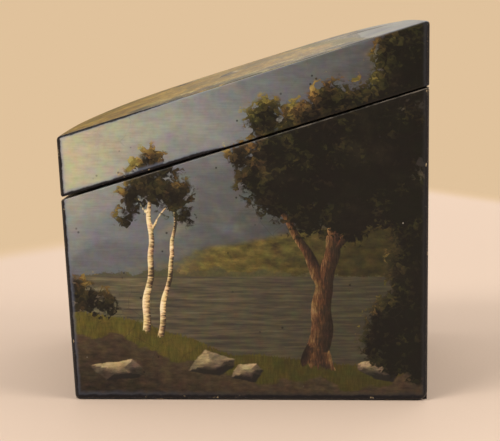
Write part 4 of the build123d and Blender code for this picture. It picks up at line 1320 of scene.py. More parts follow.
@dataclass
class Board:
    """A board as a stack of rings under one filled face: the outer face, its softened rim,
    the walls, the steps of its laps, and the inner face."""

    name: str
    origin: Array
    across: Array
    up: Array
    sections: list
    rim: tuple  # softness of each side of the outer face
    corner: tuple = (FLUSH,) * 4  # radius of each corner of the outline
    spacing: float = 1.1 * MM
    rim_steps: int = 5
    wall_steps: tuple = (0.35, 0.7, 1.0)  # shares of the depth of the first lap
    moulding: tuple = ()  # (inset, depth) down a moulded edge, from the field

    @property
    def inward(self) -> Array:
        """Direction from the outer face into the board."""
        return -np.cross(self.across, self.up)

    def place(self, flat: Array, depth: float | Array) -> Array:
        """Points in the box: origin + right * across + up * up + depth * inward.

        Args:
            flat: Places on the face, right and up.
            depth: Depth of each place under the face.

        Returns:
            The points.
        """
        depth = np.broadcast_to(depth, flat.shape[:-1])[..., None]
        flat_place = self.origin + flat[..., :1] * self.across + flat[..., 1:] * self.up
        return flat_place + depth * self.inward

    def surface(self) -> Pair:
        """Skin of the whole board.

        A rim ring at turn a lies in by r * (1 - sin a) and deep by r * (1 - cos a), with r
        the softness of its side. The walls and laps run straight from one cut to the next.

        Returns:
            Points and four-sided faces.
        """
        outer, second = self.sections[0], self.sections[1]
        length = np.linalg.norm(np.roll(outer.corners, -1, 0) - outer.corners, axis=1)
        counts = [max(round(max(length[k], length[k + 2]) / self.spacing), 2) for k in (0, 1)] * 2
        rim, corner = np.array(self.rim), np.array(self.corner)
        softness, zero = along_outline(rim, counts), np.zeros(4)
        turns = np.linspace(0, math.pi / 2, self.rim_steps + 1)
        steps = [(rim * (1 - math.sin(turn)), softness * (1 - math.cos(turn))) for turn in turns]
        if self.moulding:
            steps = [(np.full(4, inset), np.full(len(softness), depth))
                     for inset, depth in self.moulding]
            softness = steps[-1][1]
        steps += [(zero, softness + (second.depth - softness) * step) for step in self.wall_steps]
        rings = []
        for inset, depth in steps:
            one, two = (rounded_outline(cut.corners, inset, corner, counts)
                        for cut in (outer, second))
            rings.append(self.place(one + (two - one) * (depth / second.depth)[:, None], depth))
        for cut in self.sections[2:]:
            flat = rounded_outline(cut.corners, zero, np.full(4, FLUSH), counts)
            rings.append(self.place(flat, cut.depth))
        points = [np.concatenate(rings)]
        faces = [grid_faces(len(rings), len(rings[0]), closed=True)]
        start = len(points[0])
        for ring, turn in ((rings[0], 1), (rings[-1], -1)):
            cap = filled(ring, counts)
            faces.append(grid_faces(*cap.shape[:2], start)[:, ::turn])
            points.append(cap.reshape(-1, 3))
            start += len(points[-1])
        return np.concatenate(points), np.concatenate(faces)


def swollen(points: Array) -> Array:
    """Top panel lifted by its swelling, times the share of its thickness that lies below.

    Args:
        points: Points of the flat panel.

    Returns:
        The lifted points.
    """
    under = SHAPE.panel_under.at(points[:, 0])
    share = np.clip((points[:, 2] - under) / (SHAPE.lid_top.at(points[:, 0]) - under), 0, 1)
    lifted = points.copy()
    lifted[:, 2] += share * SHAPE.swelling(points[:, 0], points[:, 1])
    return lifted


def hand_planed(points: Array, seam: Level) -> Array:
    """Outer skin sunk in slow waves, as a hand plane leaves it.

    The depth is a product of two sines of the place, faded out towards the rims and the
    seam and below the skin.

    Args:
        points: Points of a board.
        seam: The board's own edge along the seam.

    Returns:
        The sunk points.
    """
    depth = SHAPE.depths(points)
    order, nearest = np.sort(depth, axis=1), depth.argmin(axis=1)
    away = np.abs(seam.at(points[:, 0]) - points[:, 2])
    outer = order[:, 0] < 0.2 * MM
    keep = smooth(1.5 * MM, 9 * MM, order[:, 1]) * smooth(0, 7 * MM, away) * outer
    a, b, c = (points / MM).T
    wave = np.sin(0.062 * a + 0.048 * b + 0.6) * np.sin(0.071 * c + 0.039 * b - 0.05 * a)
    inward = np.array([(0, 1, 0), (0, -1, 0), (1, 0, SHAPE.lean), (-1, 0, 0),
                       (SHAPE.top_slope, 0, -1), (0, 0, 1)])
    step = inward[nearest] / np.linalg.norm(inward, axis=1)[nearest][:, None]
    return points + step * (PLANING * (0.5 + 0.5 * wave) * keep)[:, None]


def walls_and_fans(low: Array, high: Array) -> Pair:
    """Straight walls between two alike outlines, each end closed with a fan about its middle.

    Args:
        low: Points of one outline.
        high: Points of the other.

    Returns:
        Points and three-sided faces.
    """
    count = len(low)
    i, j = np.arange(count), (np.arange(count) + 1) % count
    middle = np.full(count, 2 * count)
    faces = [(i, j, j + count), (i, j + count, i + count), (j, i, middle),
             (i + count, j + count, middle + 1)]
    points = np.concatenate([low, high, [low.mean(0), high.mean(0)]])
    return points, np.concatenate([np.stack(three, 1) for three in faces])


def prism(profile: list | Array, low: float, high: float) -> Pair:
    """Side-view outline, x and z, carried along the width between two places."""
    return walls_and_fans(*(np.insert(np.array(profile), 1, y, axis=1) for y in (low, high)))


def turned(profile: Array, origin: Array, axis: Array, steps: int = 64) -> Pair:
    """Half section turned round an axis: point (r, h) at angle a goes to
    origin + h * axis + r * (cos a * side + sin a * other side).

    Args:
        profile: Radius and height of each point; radius 0 at both ends closes the poles.
        origin: Where height 0 is.
        axis: Direction of growing height.
        steps: Steps round the axis.

    Returns:
        Points and faces.
    """
    axis = np.asarray(axis, float) / np.linalg.norm(axis)
    side = np.cross(axis, (0, 1, 0))
    side /= np.linalg.norm(side)
    other = np.cross(axis, side)
    angle = np.linspace(0, 2 * math.pi, steps, endpoint=False)
    ring = np.cos(angle)[:, None] * side + np.sin(angle)[:, None] * other
    points = origin + profile[:, 1, None, None] * axis + profile[:, 0, None, None] * ring[None]
    return points.reshape(-1, 3), grid_faces(len(profile), steps, closed=True)


# Pieces.
def link_piece(name: str, data: bpy.types.ID) -> Object:
    """Put a new object in the scene.

    Args:
        name: Its name.
        data: Its mesh, or a lamp's or a camera's data.

    Returns:
        The object.
    """
    piece = bpy.data.objects.new(name, data)
    bpy.context.scene.collection.objects.link(piece)
    return piece


def closed_up(mesh: bpy.types.Mesh, flatness: float = 0.0) -> None:
    """Merge a mesh's doubles and turn its faces outwards.

    Args:
        mesh: The mesh to change.
        flatness: Faces that turn by less than this are joined, if it isn't 0.
    """
    work = bmesh.new()
    work.from_mesh(mesh)
    bmesh.ops.remove_doubles(work, verts=work.verts, dist=MERGE)
    if flatness:
        bmesh.ops.dissolve_limit(work, angle_limit=flatness, use_dissolve_boundaries=False,
                                 verts=work.verts, edges=work.edges)
    bmesh.ops.recalc_face_normals(work, faces=work.faces)
    work.to_mesh(mesh)
    work.free()


def make_mesh(name: str, points: Array, faces: Array) -> Object:
    """New object with a closed mesh.

    Args:
        name: Name of the piece.
        points: Its points.
        faces: Numbers of the points of each face.

    Returns:
        The object.
    """
    mesh = bpy.data.meshes.new(name)
    mesh.from_pydata(points.tolist(), [], faces.tolist())
    closed_up(mesh)
    return link_piece(name, mesh)


def settle(piece: Object) -> None:
    """Keep what a piece's modifiers make of it as its own mesh.

    Args:
        piece: The piece.
    """
    bpy.context.view_layer.update()
    made = piece.evaluated_get(bpy.context.evaluated_depsgraph_get())
    result = bpy.data.meshes.new_from_object(made)
    piece.modifiers.clear()
    piece.data = result


def carve(piece: Object, cutters: list) -> None:
    """Cut closed shapes out of a piece and keep the result as its mesh.

    Args:
        piece: The piece to cut.
        cutters: Points and faces of each shape, cut one after another.
    """
    for index, (points, faces) in enumerate(cutters):
        tool = make_mesh(f"{piece.name}_cutter_{index}", points, faces)
        cut = piece.modifiers.new("cut", "BOOLEAN")
        cut.operation, cut.solver, cut.object = "DIFFERENCE", "EXACT", tool
        settle(piece)
        bpy.data.objects.remove(tool)


def finish_piece(piece: Object, material: Material, body: str, replaced: str) -> None:
    """Shade a piece, give it its material, tie it to its body, and hide the node it replaces.

    Args:
        piece: The piece.
        material: Its finish.
        body: The body that it rides on.
        replaced: The node that it stands for.
    """
    piece.data.shade_smooth()
    piece.data.set_sharp_from_angle(angle=SHARP_ANGLE)
    piece.data.materials.clear()
    piece.data.materials.append(material)
    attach(piece, body)
    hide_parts(replaced)
    log.info("%s: %d faces on %s", piece.name, len(piece.data.polygons), body)


def oblong(depth: float, reach: float, ends: tuple, origin: Array, across: Array,
           up: Array) -> Section:
    """Oblong cut of a board: an end's height on the face is (end - origin - depth * inward) . up.

    Args:
        depth: Depth under the face.
        reach: Half its length across.
        ends: Side-view points of its lower and upper side.
        origin: Origin of the face.
        across: Direction to the right on the face.
        up: Direction up on the face.

    Returns:
        The cut.
    """
    inward = -np.cross(across, up)
    low, high = (float((np.array([x, 0, z]) - origin - depth * inward) @ up) for x, z in ends)
    return Section(depth, np.array([(-reach, low), (reach, low), (reach, high), (-reach, high)]))


def body_of(node: str) -> str:
    """Body that a node rides on."""
    bodies = frame["record"]["behaviour"]["bodies"]
    return next(body for body, members in bodies.items() if node in members)


def wear(nodes: tuple, material: Material, softness: float) -> None:
    """Make each node again with its edges worn soft, and dress it.

    A copy of the node's mesh has its doubles merged and its flat faces joined, and a Bevel
    rounds every edge that turns by more than 30 degrees.

    Args:
        nodes: The nodes to make again.
        material: Their finish.
        softness: Width of the rounding.
    """
    for name in nodes:
        mesh = frame["nodes"][name].data.copy()
        closed_up(mesh, FLAT_ANGLE)
        piece = link_piece(f"worn_{name}", mesh)
        bevel = piece.modifiers.new("worn_edges", "BEVEL")
        bevel.width, bevel.segments, bevel.limit_method = softness, 2, "ANGLE"
        bevel.angle_limit = EDGE_ANGLE
        settle(piece)
        finish_piece(piece, material, body_of(name), name)


@dataclass(frozen=True)
class Keyhole:
    """Keyhole of the front: a round hole over a slot."""

    drop: float = 16.5 * MM  # under the seam, down the front
    radius: float = 1.7 * MM
    slot: float = 0.8 * MM  # half the slot's width
    slot_drop: float = 4.6 * MM  # from the round hole's middle to the slot's foot

    def directions(self) -> tuple[Array, Array, Array, Array]:
        """Where the hole lies on the front's outer face.

        Returns:
            Middle of the round hole, and the directions right, up and out of the front.
        """
        x, z = SHAPE.front(0, SHAPE.seam)
        along = math.hypot(1, SHAPE.lean)
        up = np.array([-SHAPE.lean, 0, 1]) / along
        out = np.array([-1, 0, -SHAPE.lean]) / along
        return np.array([x, 0, z]) - self.drop * up, np.array([0, -1.0, 0]), up, out

    def cutter(self, deep: float, steps: int = 33) -> Pair:
        """Closed shape of the hole: an arc of the round hole that ends at the slot's width.

        Args:
            deep: How far it reaches into the board.
            steps: Points of the arc.

        Returns:
            Points and faces.
        """
        middle, across, up, out = self.directions()
        turn = math.asin(self.slot / self.radius)
        angle = np.linspace(turn - math.pi / 2, 1.5 * math.pi - turn, steps)
        flat = np.concatenate([self.radius * np.stack([np.cos(angle), np.sin(angle)], 1),
                               [(-self.slot, -self.slot_drop), (self.slot, -self.slot_drop)]])
        outline = middle - flat[:, :1] * across + flat[:, 1:] * up
        return walls_and_fans(outline + 3 * MM * out, outline - deep * out)


@dataclass
class PaintedShell:
    """The painted boards of the body and the lid."""

    palette: Palette
    shape: Shape = SHAPE
    over: float = 1.5 * MM  # how far a cutter stands past the wood
    mortise_wall: float = 3.0 * MM  # wood left in front of the lock
    mortise_height: float = 24 * MM
    mortise_reach: float = 22 * MM  # half widths of the recesses
    selvedge_reach: float = 32 * MM
    selvedge_depth: float = 1.6 * MM
    link_reach: float = 28 * MM
    link_depth: float = 1.4 * MM
    link_near: float = 2.2 * MM  # the link plate's recess, from the front
    link_far: float = 8.5 * MM
    leaf_depth: float = 8.0 * MM
    leaf_thickness: float = 1.2 * MM
    barrel_bore: float = 2.1 * MM
    front_rim: float = 1.2 * MM  # softness of the top panel's front and back
    back_rim: float = 1.8 * MM
    round_edge: float = 2.0 * MM
    seam_edge: float = 0.5 * MM
    foot_back: float = 3.6 * MM
    lid_edge: float = 0.9 * MM
    fine: float = 0.75 * MM
    plain: float = 1.2 * MM

    def end(self, name: str, side: int, outer: list, inner: list, inner_wall: float, rim: tuple,
            corner: tuple, spacing: float) -> Board:
        """End board or rail: the side view, pushed inwards, with a lap all round.

        Args:
            name: Name of the piece.
            side: -1 for the right end, 1 for the left end.
            outer: Side view of the outer part, from the front foot round.
            inner: Side view of the part behind the laps.
            inner_wall: Full thickness.
            rim: Softness of foot, back, top and front of the outer face.
            corner: Radius of front foot, back foot, back top and front top.
            spacing: Distance between points of the outer face.

        Returns:
            The board.
        """
        outer, inner = np.array(outer), np.array(inner)
        if side > 0:
            outer, inner = ((part * (-1, 1))[[1, 0, 3, 2]] for part in (outer, inner))
            rim = (rim[0], rim[3], rim[2], rim[1])
            corner = (corner[1], corner[0], corner[3], corner[2])
        lap = self.shape.lap
        cuts = [Section(0, outer), Section(lap, outer), Section(lap, inner),
                Section(inner_wall, inner)]
        return Board(name, np.array([0, side * self.shape.half_width, 0.0]),
                     np.array([-side, 0, 0.0]), np.array([0, 0, 1.0]), cuts, rim, corner, spacing)

    def long(self, name: str, front: bool, levels: tuple, thickness: float, rim: tuple,
             step: Level | None) -> Board:
        """Front or back board or rail, cut off by its levels at every depth.

        Args:
            name: Name of the piece.
            front: True at the front, False at the back.
            levels: Lower and upper level.
            thickness: Full thickness.
            rim: Softness of foot, right, top and left side of the outer face.
            step: Level of the foot behind the lap, or None without one.

        Returns:
            The board.
        """
        s, reach = self.shape, self.shape.half_width - self.shape.lap
        if front:
            across, up = np.array([0, -1.0, 0]), np.array([-s.lean, 0, 1]) / math.hypot(1, s.lean)
        else:
            across, up = np.array([0, 1.0, 0]), np.array([0, 0, 1.0])
        origin = np.array([-s.half_depth if front else s.half_depth, 0, 0])
        face = s.front if front else s.back

        def section(depth: float, low: Level) -> Section:
            """Cut at a depth, between a lower level and the board's upper one."""
            ends = (face(depth, low), face(depth, levels[1]))
            return oblong(depth, reach, ends, origin, across, up)

        cuts = [section(0, levels[0]), section(s.lap, levels[0])]
        if step is not None:
            cuts.append(section(s.lap, step))
        cuts.append(section(thickness, step or levels[0]))
        return Board(name, origin, across, up, cuts, rim, spacing=self.plain)

    def top(self) -> Board:
        """Top panel, its outline rounded in plan and its rim softened.

        Returns:
            The board.
        """
        s, slant = self.shape, math.hypot(1, self.shape.top_slope)
        across, up = np.array([0, -1.0, 0]), np.array([1, 0, s.top_slope]) / slant
        x, z = s.front(0, s.lid_top)
        origin = np.array([x, 0, z])

        def section(depth: float) -> Section:
            """Cut between the leaning front and the upright back.

            Args:
                depth: Depth under the top.

            Returns:
                The cut.
            """
            level = s.lid_top.shifted(-depth)
            ends = (s.front(0, level), s.back(0, level))
            return oblong(depth, s.half_width, ends, origin, across, up)

        return Board("top_panel", origin, across, up, [section(0), section(s.panel)],
                     (self.front_rim, self.lid_edge, self.back_rim, self.lid_edge),
                     (self.round_edge + 0.1 * MM,) * 4, self.plain)

    def lock_cutters(self) -> list:
        """Mortise, selvedge recess and keyhole in the front board.

        Returns:
            Points and faces of each.
        """
        s, over = self.shape, self.over
        along, height = math.hypot(1, s.lean), self.mortise_height
        x, z = s.front(0, s.seam)
        foot = Level(z - height / along - s.lean * (x + height * s.lean / along), s.lean)
        above, ledge = s.seam.shifted(over), s.seam.shifted(-self.selvedge_depth)
        return [prism(self.recess(foot, above, self.mortise_wall, s.wall + over),
                      -self.mortise_reach, self.mortise_reach),
                prism(self.recess(ledge, above, self.mortise_wall, s.wall + over),
                      -self.selvedge_reach, self.selvedge_reach),
                Keyhole().cutter(self.mortise_wall + over)]

    def link_cutter(self) -> Pair:
        """Recess of the link plate in the lid's front rail.

        Returns:
            Points and faces.
        """
        under = self.shape.lid_under
        low, high = under.shifted(-self.over), under.shifted(self.link_depth)
        outline = self.recess(low, high, self.link_near, self.link_far)
        return prism(outline, -self.link_reach, self.link_reach)

    def recess(self, low: Level, high: Level, near: float, far: float) -> list:
        """Side view between two levels and two insets from the front."""
        front = self.shape.front
        return [front(near, low), front(far, low), front(far, high), front(near, high)]

    def hinge_cutters(self, level: Level, toward: int) -> list:
        """Recesses of both hinges' leaves and barrels on one side of the seam.

        Args:
            level: The edge of the wood.
            toward: 1 where the wood lies above it, -1 where it lies below.

        Returns:
            Points and faces of each recess.
        """
        back = self.shape.back
        near, far = level.shifted(-toward * self.over), level.shifted(toward * self.leaf_thickness)
        leaf = [back(self.leaf_depth, near), back(-self.over, near), back(-self.over, far),
                back(self.leaf_depth, far)]
        x, _, z = next(joint["pos_m"] for joint in frame["joints"] if joint["name"] == "lid_hinge")
        angle = np.linspace(0, 2 * math.pi, 40, endpoint=False)
        barrel = np.stack([x + self.barrel_bore * np.cos(angle),
                           z + self.barrel_bore * np.sin(angle)], 1)
        spans = [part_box(f"{side}_hinge_body_leaf") for side in ("right", "left")]
        return [prism(outline, low.y, high.y) for low, high in spans for outline in (leaf, barrel)]

    def build(self) -> None:
        """Make every painted board, carve its recesses, and paint it."""
        s, r, e = self.shape, self.round_edge, self.seam_edge
        body, lid = (s.floor, s.seam), (s.lid_under, s.panel_under)
        small, wall, rail = self.lid_edge, s.wall, s.lid_wall
        foot, flush = (self.foot_back, FLUSH, e, FLUSH), (e, FLUSH, FLUSH, FLUSH)
        jobs = []
        for name, side, spacing in (("right", -1, self.fine), ("left", 1, self.plain)):
            jobs.append((self.end(f"{name}_end", side, s.band(*body, 0, 0),
                                  s.band(s.base_top, s.seam, wall, wall), wall, (r, r, e, r),
                                  (r, self.foot_back, small, small), spacing),
                         f"{name}_end_board", False, []))
            jobs.append((self.end(f"lid_{name}_end", side, s.band(*lid, 0, 0),
                                  s.band(*lid, rail, rail), rail, (e, r, FLUSH, r),
                                  (small, small, FLUSH, FLUSH), spacing),
                         f"lid_{name}_rail", True, []))
        jobs += [
            (self.long("front", True, body, wall, (r, FLUSH, e, FLUSH), s.base_top),
             "front_board", False, self.lock_cutters()),
            (self.long("back", False, body, wall, foot, s.base_top),
             "back_board", False, self.hinge_cutters(s.seam, -1)),
            (self.long("lid_front", True, lid, rail, flush, None),
             "lid_front_rail", True, [self.link_cutter()]),
            (self.long("lid_back", False, lid, rail, flush, None),
             "lid_back_rail", True, self.hinge_cutters(s.lid_under, 1)),
            (self.top(), "lid_top_panel", True, []),
        ]
        for board, node, above, cutters in jobs:
            points, faces = board.surface()
            seam = s.lid_under if above else s.seam
            if node == "lid_top_panel":
                points = swollen(points)
            piece = make_mesh(f"painted_{board.name}", hand_planed(points, seam), faces)
            carve(piece, cutters)
            PaintedSkin.write(piece.data, seam, above)
            finish_piece(piece, self.palette.painted, "lid" if above else "box",
                         node)


def smooth_curve(points: tuple, steps: int = 5) -> Array:
    """Curve through points, each stretch a cubic whose slopes are half the neighbours' gaps.

    Args:
        points: The points.
        steps: Steps of each stretch.

    Returns:
        The curve's points.
    """
    p = np.array(points, float)
    p = np.concatenate([[2 * p[0] - p[1]], p, [2 * p[-1] - p[-2]]])
    t = np.linspace(0, 1, steps, endpoint=False)[None, :, None]
    a, b, c, d = (p[k:len(p) - 3 + k, None] for k in range(4))
    curve = 0.5 * (2 * b + (c - a) * t + (2 * a - 5 * b + 4 * c - d) * t**2
                   + (3 * b - a - 3 * c + d) * t**3)
    return np.concatenate([curve.reshape(-1, 2), p[-2:-1]])


@dataclass
class Compartments:
    """Linings, partition, liners, and the loose inner lids with their turned knobs."""

    palette: Palette
    shape: Shape = SHAPE
    drop: float = 6.0 * MM
    thickness: float = 4.5 * MM
    clearance: float = 0.4 * MM
    peg_radius: float = 1.8 * MM
    peg_length: float = 3.35 * MM
    moulding: tuple = tuple((i * MM, d * MM) for i, d in (
        (6.6, 0.0), (6.3, 0.04), (6.0, 0.3), (5.7, 0.42), (5.4, 0.3), (5.1, 0.04), (4.8, 0.0),
        (2.2, 0.06), (1.8, 0.22), (1.5, 0.28), (1.1, 0.36), (0.6, 0.62), (0.2, 1.0), (0.0, 1.5)))
    turning: tuple = (
        (3.5, 0.0), (3.93, 0.22), (4.0, 0.6), (3.8, 0.98), (3.35, 1.16), (3.0, 1.36), (2.5, 1.8),
        (2.16, 2.45), (2.1, 3.0), (2.3, 3.28), (2.72, 3.42), (2.84, 3.66), (2.7, 3.9), (2.62, 4.08),
        (3.3, 4.5), (4.15, 5.15), (4.56, 5.95), (4.55, 6.6), (4.1, 7.4), (3.3, 8.02), (2.4, 8.36),
        (1.95, 8.4), (1.6, 8.42), (1.56, 8.66), (1.3, 8.86), (0.8, 8.96), (0.3, 9.0))

    def top_of_lids(self) -> Level:
        """Upper face of the inner lids."""
        return self.shape.seam.shifted(-self.drop)

    def knob_seat(self, side: str) -> Pair:
        """Foot of a knob, in the middle of its lid, and its axis.

        Args:
            side: "right" or "left".

        Returns:
            The point and the direction.
        """
        s, level = self.shape, self.top_of_lids()
        inset = s.wall + s.lining + self.clearance
        front, back = s.front(inset, level), s.back(inset, level)
        low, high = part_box(f"{side}_inner_lid")
        middle = np.array([(front[0] + back[0]) / 2, (low.y + high.y) / 2,
                           (front[1] + back[1]) / 2])
        return middle, np.array([-s.slope, 0, 1]) / math.hypot(1, s.slope)

    def knob(self, side: str) -> None:
        """Turned knob: foot, cove, ring, bulb and button, on its peg.

        Args:
            side: "right" or "left".
        """
        seat, axis = self.knob_seat(side)
        peg = np.array([(0, -self.peg_length), (self.peg_radius - 0.2 * MM, -self.peg_length),
                        (self.peg_radius, -self.peg_length + 0.2 * MM),
                        (self.peg_radius, 0.02 * MM)])
        outline = np.concatenate([peg, smooth_curve(self.turning) * MM, [(0, 9.0 * MM)]])
        piece = make_mesh(f"{side}_turned_knob", *turned(outline, seat, axis))
        finish_piece(piece, self.palette.bone, f"{side}_cover",
                     f"{side}_inner_lid_knob")

    def inner_lid(self, side: str) -> None:
        """Thin board with a groove and a thumb moulding round its top, bored for its knob.

        Args:
            side: "right" or "left".
        """
        s, slant = self.shape, math.hypot(1, self.shape.slope)
        inset, level = s.wall + s.lining + self.clearance, self.top_of_lids()
        low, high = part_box(f"{side}_inner_lid")
        middle, reach = (low.y + high.y) / 2, (high.y - low.y) / 2
        across, up = np.array([0, -1.0, 0]), np.array([1, 0, s.slope]) / slant
        x, z = s.front(inset, level)
        origin = np.array([x, middle, z])

        def section(depth: float) -> Section:
            """Cut between the clearances at the front and the back.

            Args:
                depth: Depth under the upper face.

            Returns:
                The cut.
            """
            under = level.shifted(-depth)
            ends = (s.front(inset, under), s.back(inset, under))
            return oblong(depth, reach, ends, origin, across, up)

        board = Board(f"{side}_lid", origin, across, up, [section(0), section(self.thickness)],
                      (1.0 * MM,) * 4, (0.4 * MM,) * 4, 2.0 * MM, moulding=self.moulding)
        piece = make_mesh(f"{side}_moulded_lid", *board.surface())
        seat, axis = self.knob_seat(side)
        bore = (self.peg_radius + 0.05 * MM) / MM
        hole = np.array([(0, -3.4), (bore, -3.4), (bore, 1), (0, 1)]) * MM
        carve(piece, [turned(hole, seat, axis, 40)])
        finish_piece(piece, self.palette.polished, f"{side}_cover",
                     f"{side}_inner_lid")

    def build(self) -> None:
        """Make the inner lids and knobs, and wear the boards round them."""
        p = self.palette
        for side in ("right", "left"):
            self.inner_lid(side)
            self.knob(side)
        wear(("right_lining", "left_lining", "front_lining", "back_lining", "partition",
              "inner_lid_ledges", "lid_front_lining", "lid_back_lining", "lid_left_lining",
              "lid_right_lining"), p.lacquer, 0.4 * MM)
        wear(("lid_ceiling",), p.paper, 0.2 * MM)
        wear(("base_board",), p.pine, 0.3 * MM)
        wear(("left_tea_liner", "right_tea_liner"), p.pewter, 0.2 * MM)


@dataclass
class Metalwork:
    """Lock, link plate, escutcheon, hinges and their screws."""

    palette: Palette
    keyhole: Keyhole = Keyhole()
    half_width: float = 6.0 * MM
    half_height: float = 9.5 * MM
    pin_spread: float = 14.6 * MM
    pin_head: float = 0.95 * MM

    def escutcheon(self) -> None:
        """Oval plate round the keyhole, from the keyhole's edge to the oval's.

        At share t and angle a, a point lies at (1 - t) * keyhole(a) + t * oval(a), and its
        height is a dome, 1 - 0.35 t^2, with a bead near the oval's edge.
        """
        key = self.keyhole
        middle, across, up, out = key.directions()
        angle = np.linspace(0, 2 * math.pi, 144, endpoint=False) - math.pi / 2
        ray = np.stack([np.cos(angle), np.sin(angle)], 1)
        sideways, down = np.maximum(np.abs(ray[:, 0]), 1e-6), np.maximum(-ray[:, 1], 1e-6)
        slot = np.where(ray[:, 1] < 0, np.minimum(key.slot / sideways, key.slot_drop / down), 0)
        hole = ray * np.maximum(key.radius, slot)[:, None]
        oval = np.stack([self.half_width * ray[:, 0], self.half_height * ray[:, 1]], 1)
        oval /= np.linalg.norm(ray, axis=1, keepdims=True)
        rows = [(0, 0.0), (0, 0.62), (0.012, 0.7), (0.04, 0.74), (0.12, 0.8), (0.3, 0.78),
                (0.5, 0.72), (0.7, 0.64), (0.82, 0.58), (0.85, 0.56), (0.88, 0.66), (0.915, 0.7),
                (0.95, 0.66), (0.975, 0.52), (0.99, 0.34), (1.0, 0.14), (1.0, 0.0)]
        flat = np.stack([hole + (oval - hole) * share for share, _ in rows])
        height = np.array([h for _, h in rows])[:, None, None] * MM
        points = middle + flat[..., :1] * across + flat[..., 1:] * up + height * out
        first, last = np.arange(len(angle)), np.arange(len(angle)) + (len(rows) - 1) * len(angle)
        back = np.stack([first, np.roll(first, -1), np.roll(last, -1), last], 1)
        piece = make_mesh("oval_escutcheon", points.reshape(-1, 3),
                          np.concatenate([grid_faces(len(rows), len(angle), closed=True), back]))
        finish_piece(piece, self.palette.brass, "box", "escutcheon")

    def pins(self) -> None:
        """Two round-headed pins through the escutcheon, each turned about its own axis."""
        middle, _, up, out = self.keyhole.directions()
        a = np.linspace(0, math.pi / 2, 9)
        head = np.stack([self.pin_head * np.cos(a), 0.6 * MM + 0.55 * MM * np.sin(a)], 1)
        head[-1, 0] = 0
        shank = [(0, -2.4 * MM), (0.3 * MM, -1.9 * MM), (0.38 * MM, 0.5 * MM)]
        outline = np.concatenate([shank, head])
        sets = [turned(outline, middle + k * self.pin_spread / 2 * up, out, 28) for k in (-1, 1)]
        count = len(sets[0][0])
        piece = make_mesh("escutcheon_pin_pair", np.concatenate([one[0] for one in sets]),
                          np.concatenate([sets[0][1], sets[1][1] + count]))
        finish_piece(piece, self.palette.fixings, "box", "escutcheon_pins")

    def build(self) -> None:
        """Make the escutcheon and its pins, and wear the lock and the hinges."""
        p = self.palette
        self.escutcheon()
        self.pins()
        wear(("left_hinge_body_leaf", "right_hinge_body_leaf", "left_hinge_lid_leaf",
              "right_hinge_lid_leaf", "lock_selvedge", "lock_link_plate"), p.brass, 0.12 * MM)
        wear(("hinge_body_screws", "hinge_lid_screws", "lock_screws", "link_plate_screws"),
             p.fixings, 0.06 * MM)
        wear(("lock_case", "lock_cap"), p.lock_brass, 0.12 * MM)
        wear(("lock_bolt", "bolt_spring", "lock_drill_pin", "lock_ward", "left_hinge_pin",
              "right_hinge_pin"), p.steel, 0.06 * MM)


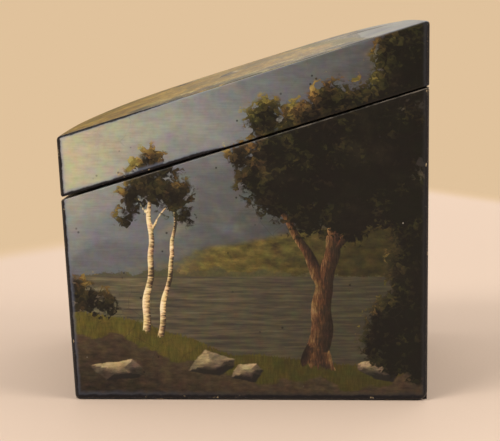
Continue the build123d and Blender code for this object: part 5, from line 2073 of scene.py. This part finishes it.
@dataclass
class Studio:
    """Floor, backdrop colour, lamps and the camera of the photograph."""

    camera_place: tuple = (0.0190, -0.92847, 0.1400)
    pitch: float = math.radians(5.030)
    yaw: float = math.radians(-1.332)
    lens: float = 2284.0 * 36 / 500
    cloth: tuple = paint(0xe1c9b5)
    wall: tuple = paint(0xe0c29c)
    sky: float = 0.66
    far_sides: tuple = (  # a point and the way outward, for each side
        (-0.161, 0.428, -0.896, 0.443), (0.124, 0.949, 0.910, 0.416))

    def floor(self) -> None:
        """A wide flat floor whose pale pink turns to the wall's beige away from the box."""
        count, radii = 96, (200.0, 6.0, 0.4)
        angle = np.linspace(0, 2 * math.pi, count, endpoint=False)
        ring = np.stack([np.cos(angle), np.sin(angle), np.zeros(count)], 1)
        rings = np.concatenate([*(ring * radius for radius in radii), [[0, 0, 0]]])
        last = np.arange(count) + (len(radii) - 1) * count
        fan = np.stack([last, np.roll(last, -1), np.full(count, len(rings) - 1)], 1)
        mesh = bpy.data.meshes.new("floor")
        quads = grid_faces(len(radii), count, closed=True)
        mesh.from_pydata(rings.tolist(), [], quads.tolist() + fan.tolist())
        piece = link_piece("floor", mesh)
        t = Tree("floor")
        place = t.place()
        outside = None
        for x, y, out_x, out_y in self.far_sides:
            reach = t.add("VectorMath", {0: place, 1: (out_x, out_y, 0)},
                          operation="DOT_PRODUCT")
            past = t.math("SUBTRACT", reach.outputs["Value"], x * out_x + y * out_y)
            outside = past if outside is None else t.math("MAXIMUM", outside, past)
        far = t.band(outside, -0.03, 0.03)
        colour = t.mix(far, self.cloth, self.wall)
        tooth = t.noise(place, 700, 3)
        t.set(Base_Color=colour, Roughness=0.95, Specular_IOR_Level=0.1,
              Normal=t.bump(tooth, 0.0002, 0.4))
        glow = t.add("Emission", {"Color": self.wall})
        seen = t.times(far, t.add("LightPath").outputs["Is Camera Ray"])
        cover = t.add("MixShader", {0: seen, 1: t.shader.outputs[0], 2: glow.outputs[0]})
        t.join(cover.outputs[0], t.output.inputs["Surface"])
        mesh.materials.append(t.owner)

    def world(self) -> None:
        """Even pale light; the camera sees the wall's beige, and so do glossy rays to the back,
        while the room in front is dim in reflections."""
        world = bpy.data.worlds.new("studio")
        bpy.context.scene.world = world
        t = Tree(world)
        aim = t.add("SeparateXYZ", {0: t.add("TexCoord").outputs["Generated"]}).outputs["Y"]
        dim = t.add("MapRange", {"Value": aim, "From Min": 0.0, "From Max": 0.9,
                                 "To Min": 0.3, "To Max": 0.36}).outputs[0]
        even, gloss, seen = (
            t.add("Background", {"Color": colour, "Strength": strength}).outputs[0]
            for colour, strength in (((1.0, 0.97, 0.93, 1), self.sky), (self.wall, dim),
                                     (self.wall, 1.0)))
        path = t.add("LightPath").outputs
        lit = t.add("MixShader", {0: path["Is Glossy Ray"], 1: even, 2: gloss}).outputs[0]
        room = t.add("MixShader", {0: path["Is Camera Ray"], 1: lit, 2: seen}).outputs[0]
        t.join(room, t.output.inputs["Surface"])

    def lamp(self, name: str, place: tuple, size: float, power: float, colour: tuple) -> None:
        """Square soft lamp aimed at the middle of the box.

        Args:
            name: Its name.
            place: Where it hangs.
            size: Length of its sides.
            power: Its power in watts.
            colour: Its colour.
        """
        data = bpy.data.lights.new(name, "AREA")
        data.size, data.energy, data.color = size, power, colour
        lamp = link_piece(name, data)
        lamp.location = place
        aim = Vector((0, 0, 0.06)) - Vector(place)
        lamp.rotation_euler = aim.to_track_quat("-Z", "Y").to_euler()

    def build(self) -> None:
        """Set the stage, the lamps and the camera."""
        self.floor()
        self.world()
        self.lamp("key", (-0.9, -1.3, 1.4), 0.9, 18, (1.0, 0.97, 0.93))
        self.lamp("fill", (1.3, -0.9, 0.9), 1.2, 10.5, (1.0, 0.96, 0.9))
        self.lamp("back", (0.2, 1.5, 1.2), 1.2, 10, (1.0, 0.97, 0.94))
        data = bpy.data.cameras.new("camera")
        data.lens, data.sensor_width = self.lens, 36
        data.clip_start, data.clip_end = 0.05, 50
        camera = link_piece("camera", data)
        camera.location = self.camera_place
        ahead = Vector((math.sin(self.yaw) * math.cos(self.pitch),
                        math.cos(self.yaw) * math.cos(self.pitch), -math.sin(self.pitch)))
        camera.rotation_euler = ahead.to_track_quat("-Z", "Y").to_euler()
        bpy.context.scene.camera = camera
        bpy.context.scene.view_settings.view_transform = "Standard"


def main() -> None:
    """Build the studio and every part of the caddy, logging the faces of each piece."""
    logging.basicConfig(level=logging.INFO, format="%(name)s: %(message)s")
    Studio().build()
    palette = Palette()
    for part in (PaintedShell(palette), Compartments(palette), Metalwork(palette)):
        part.build()
        log.info("%s built", type(part).__name__)
    bpy.context.view_layer.update()


if __name__ == "__main__":
    main()
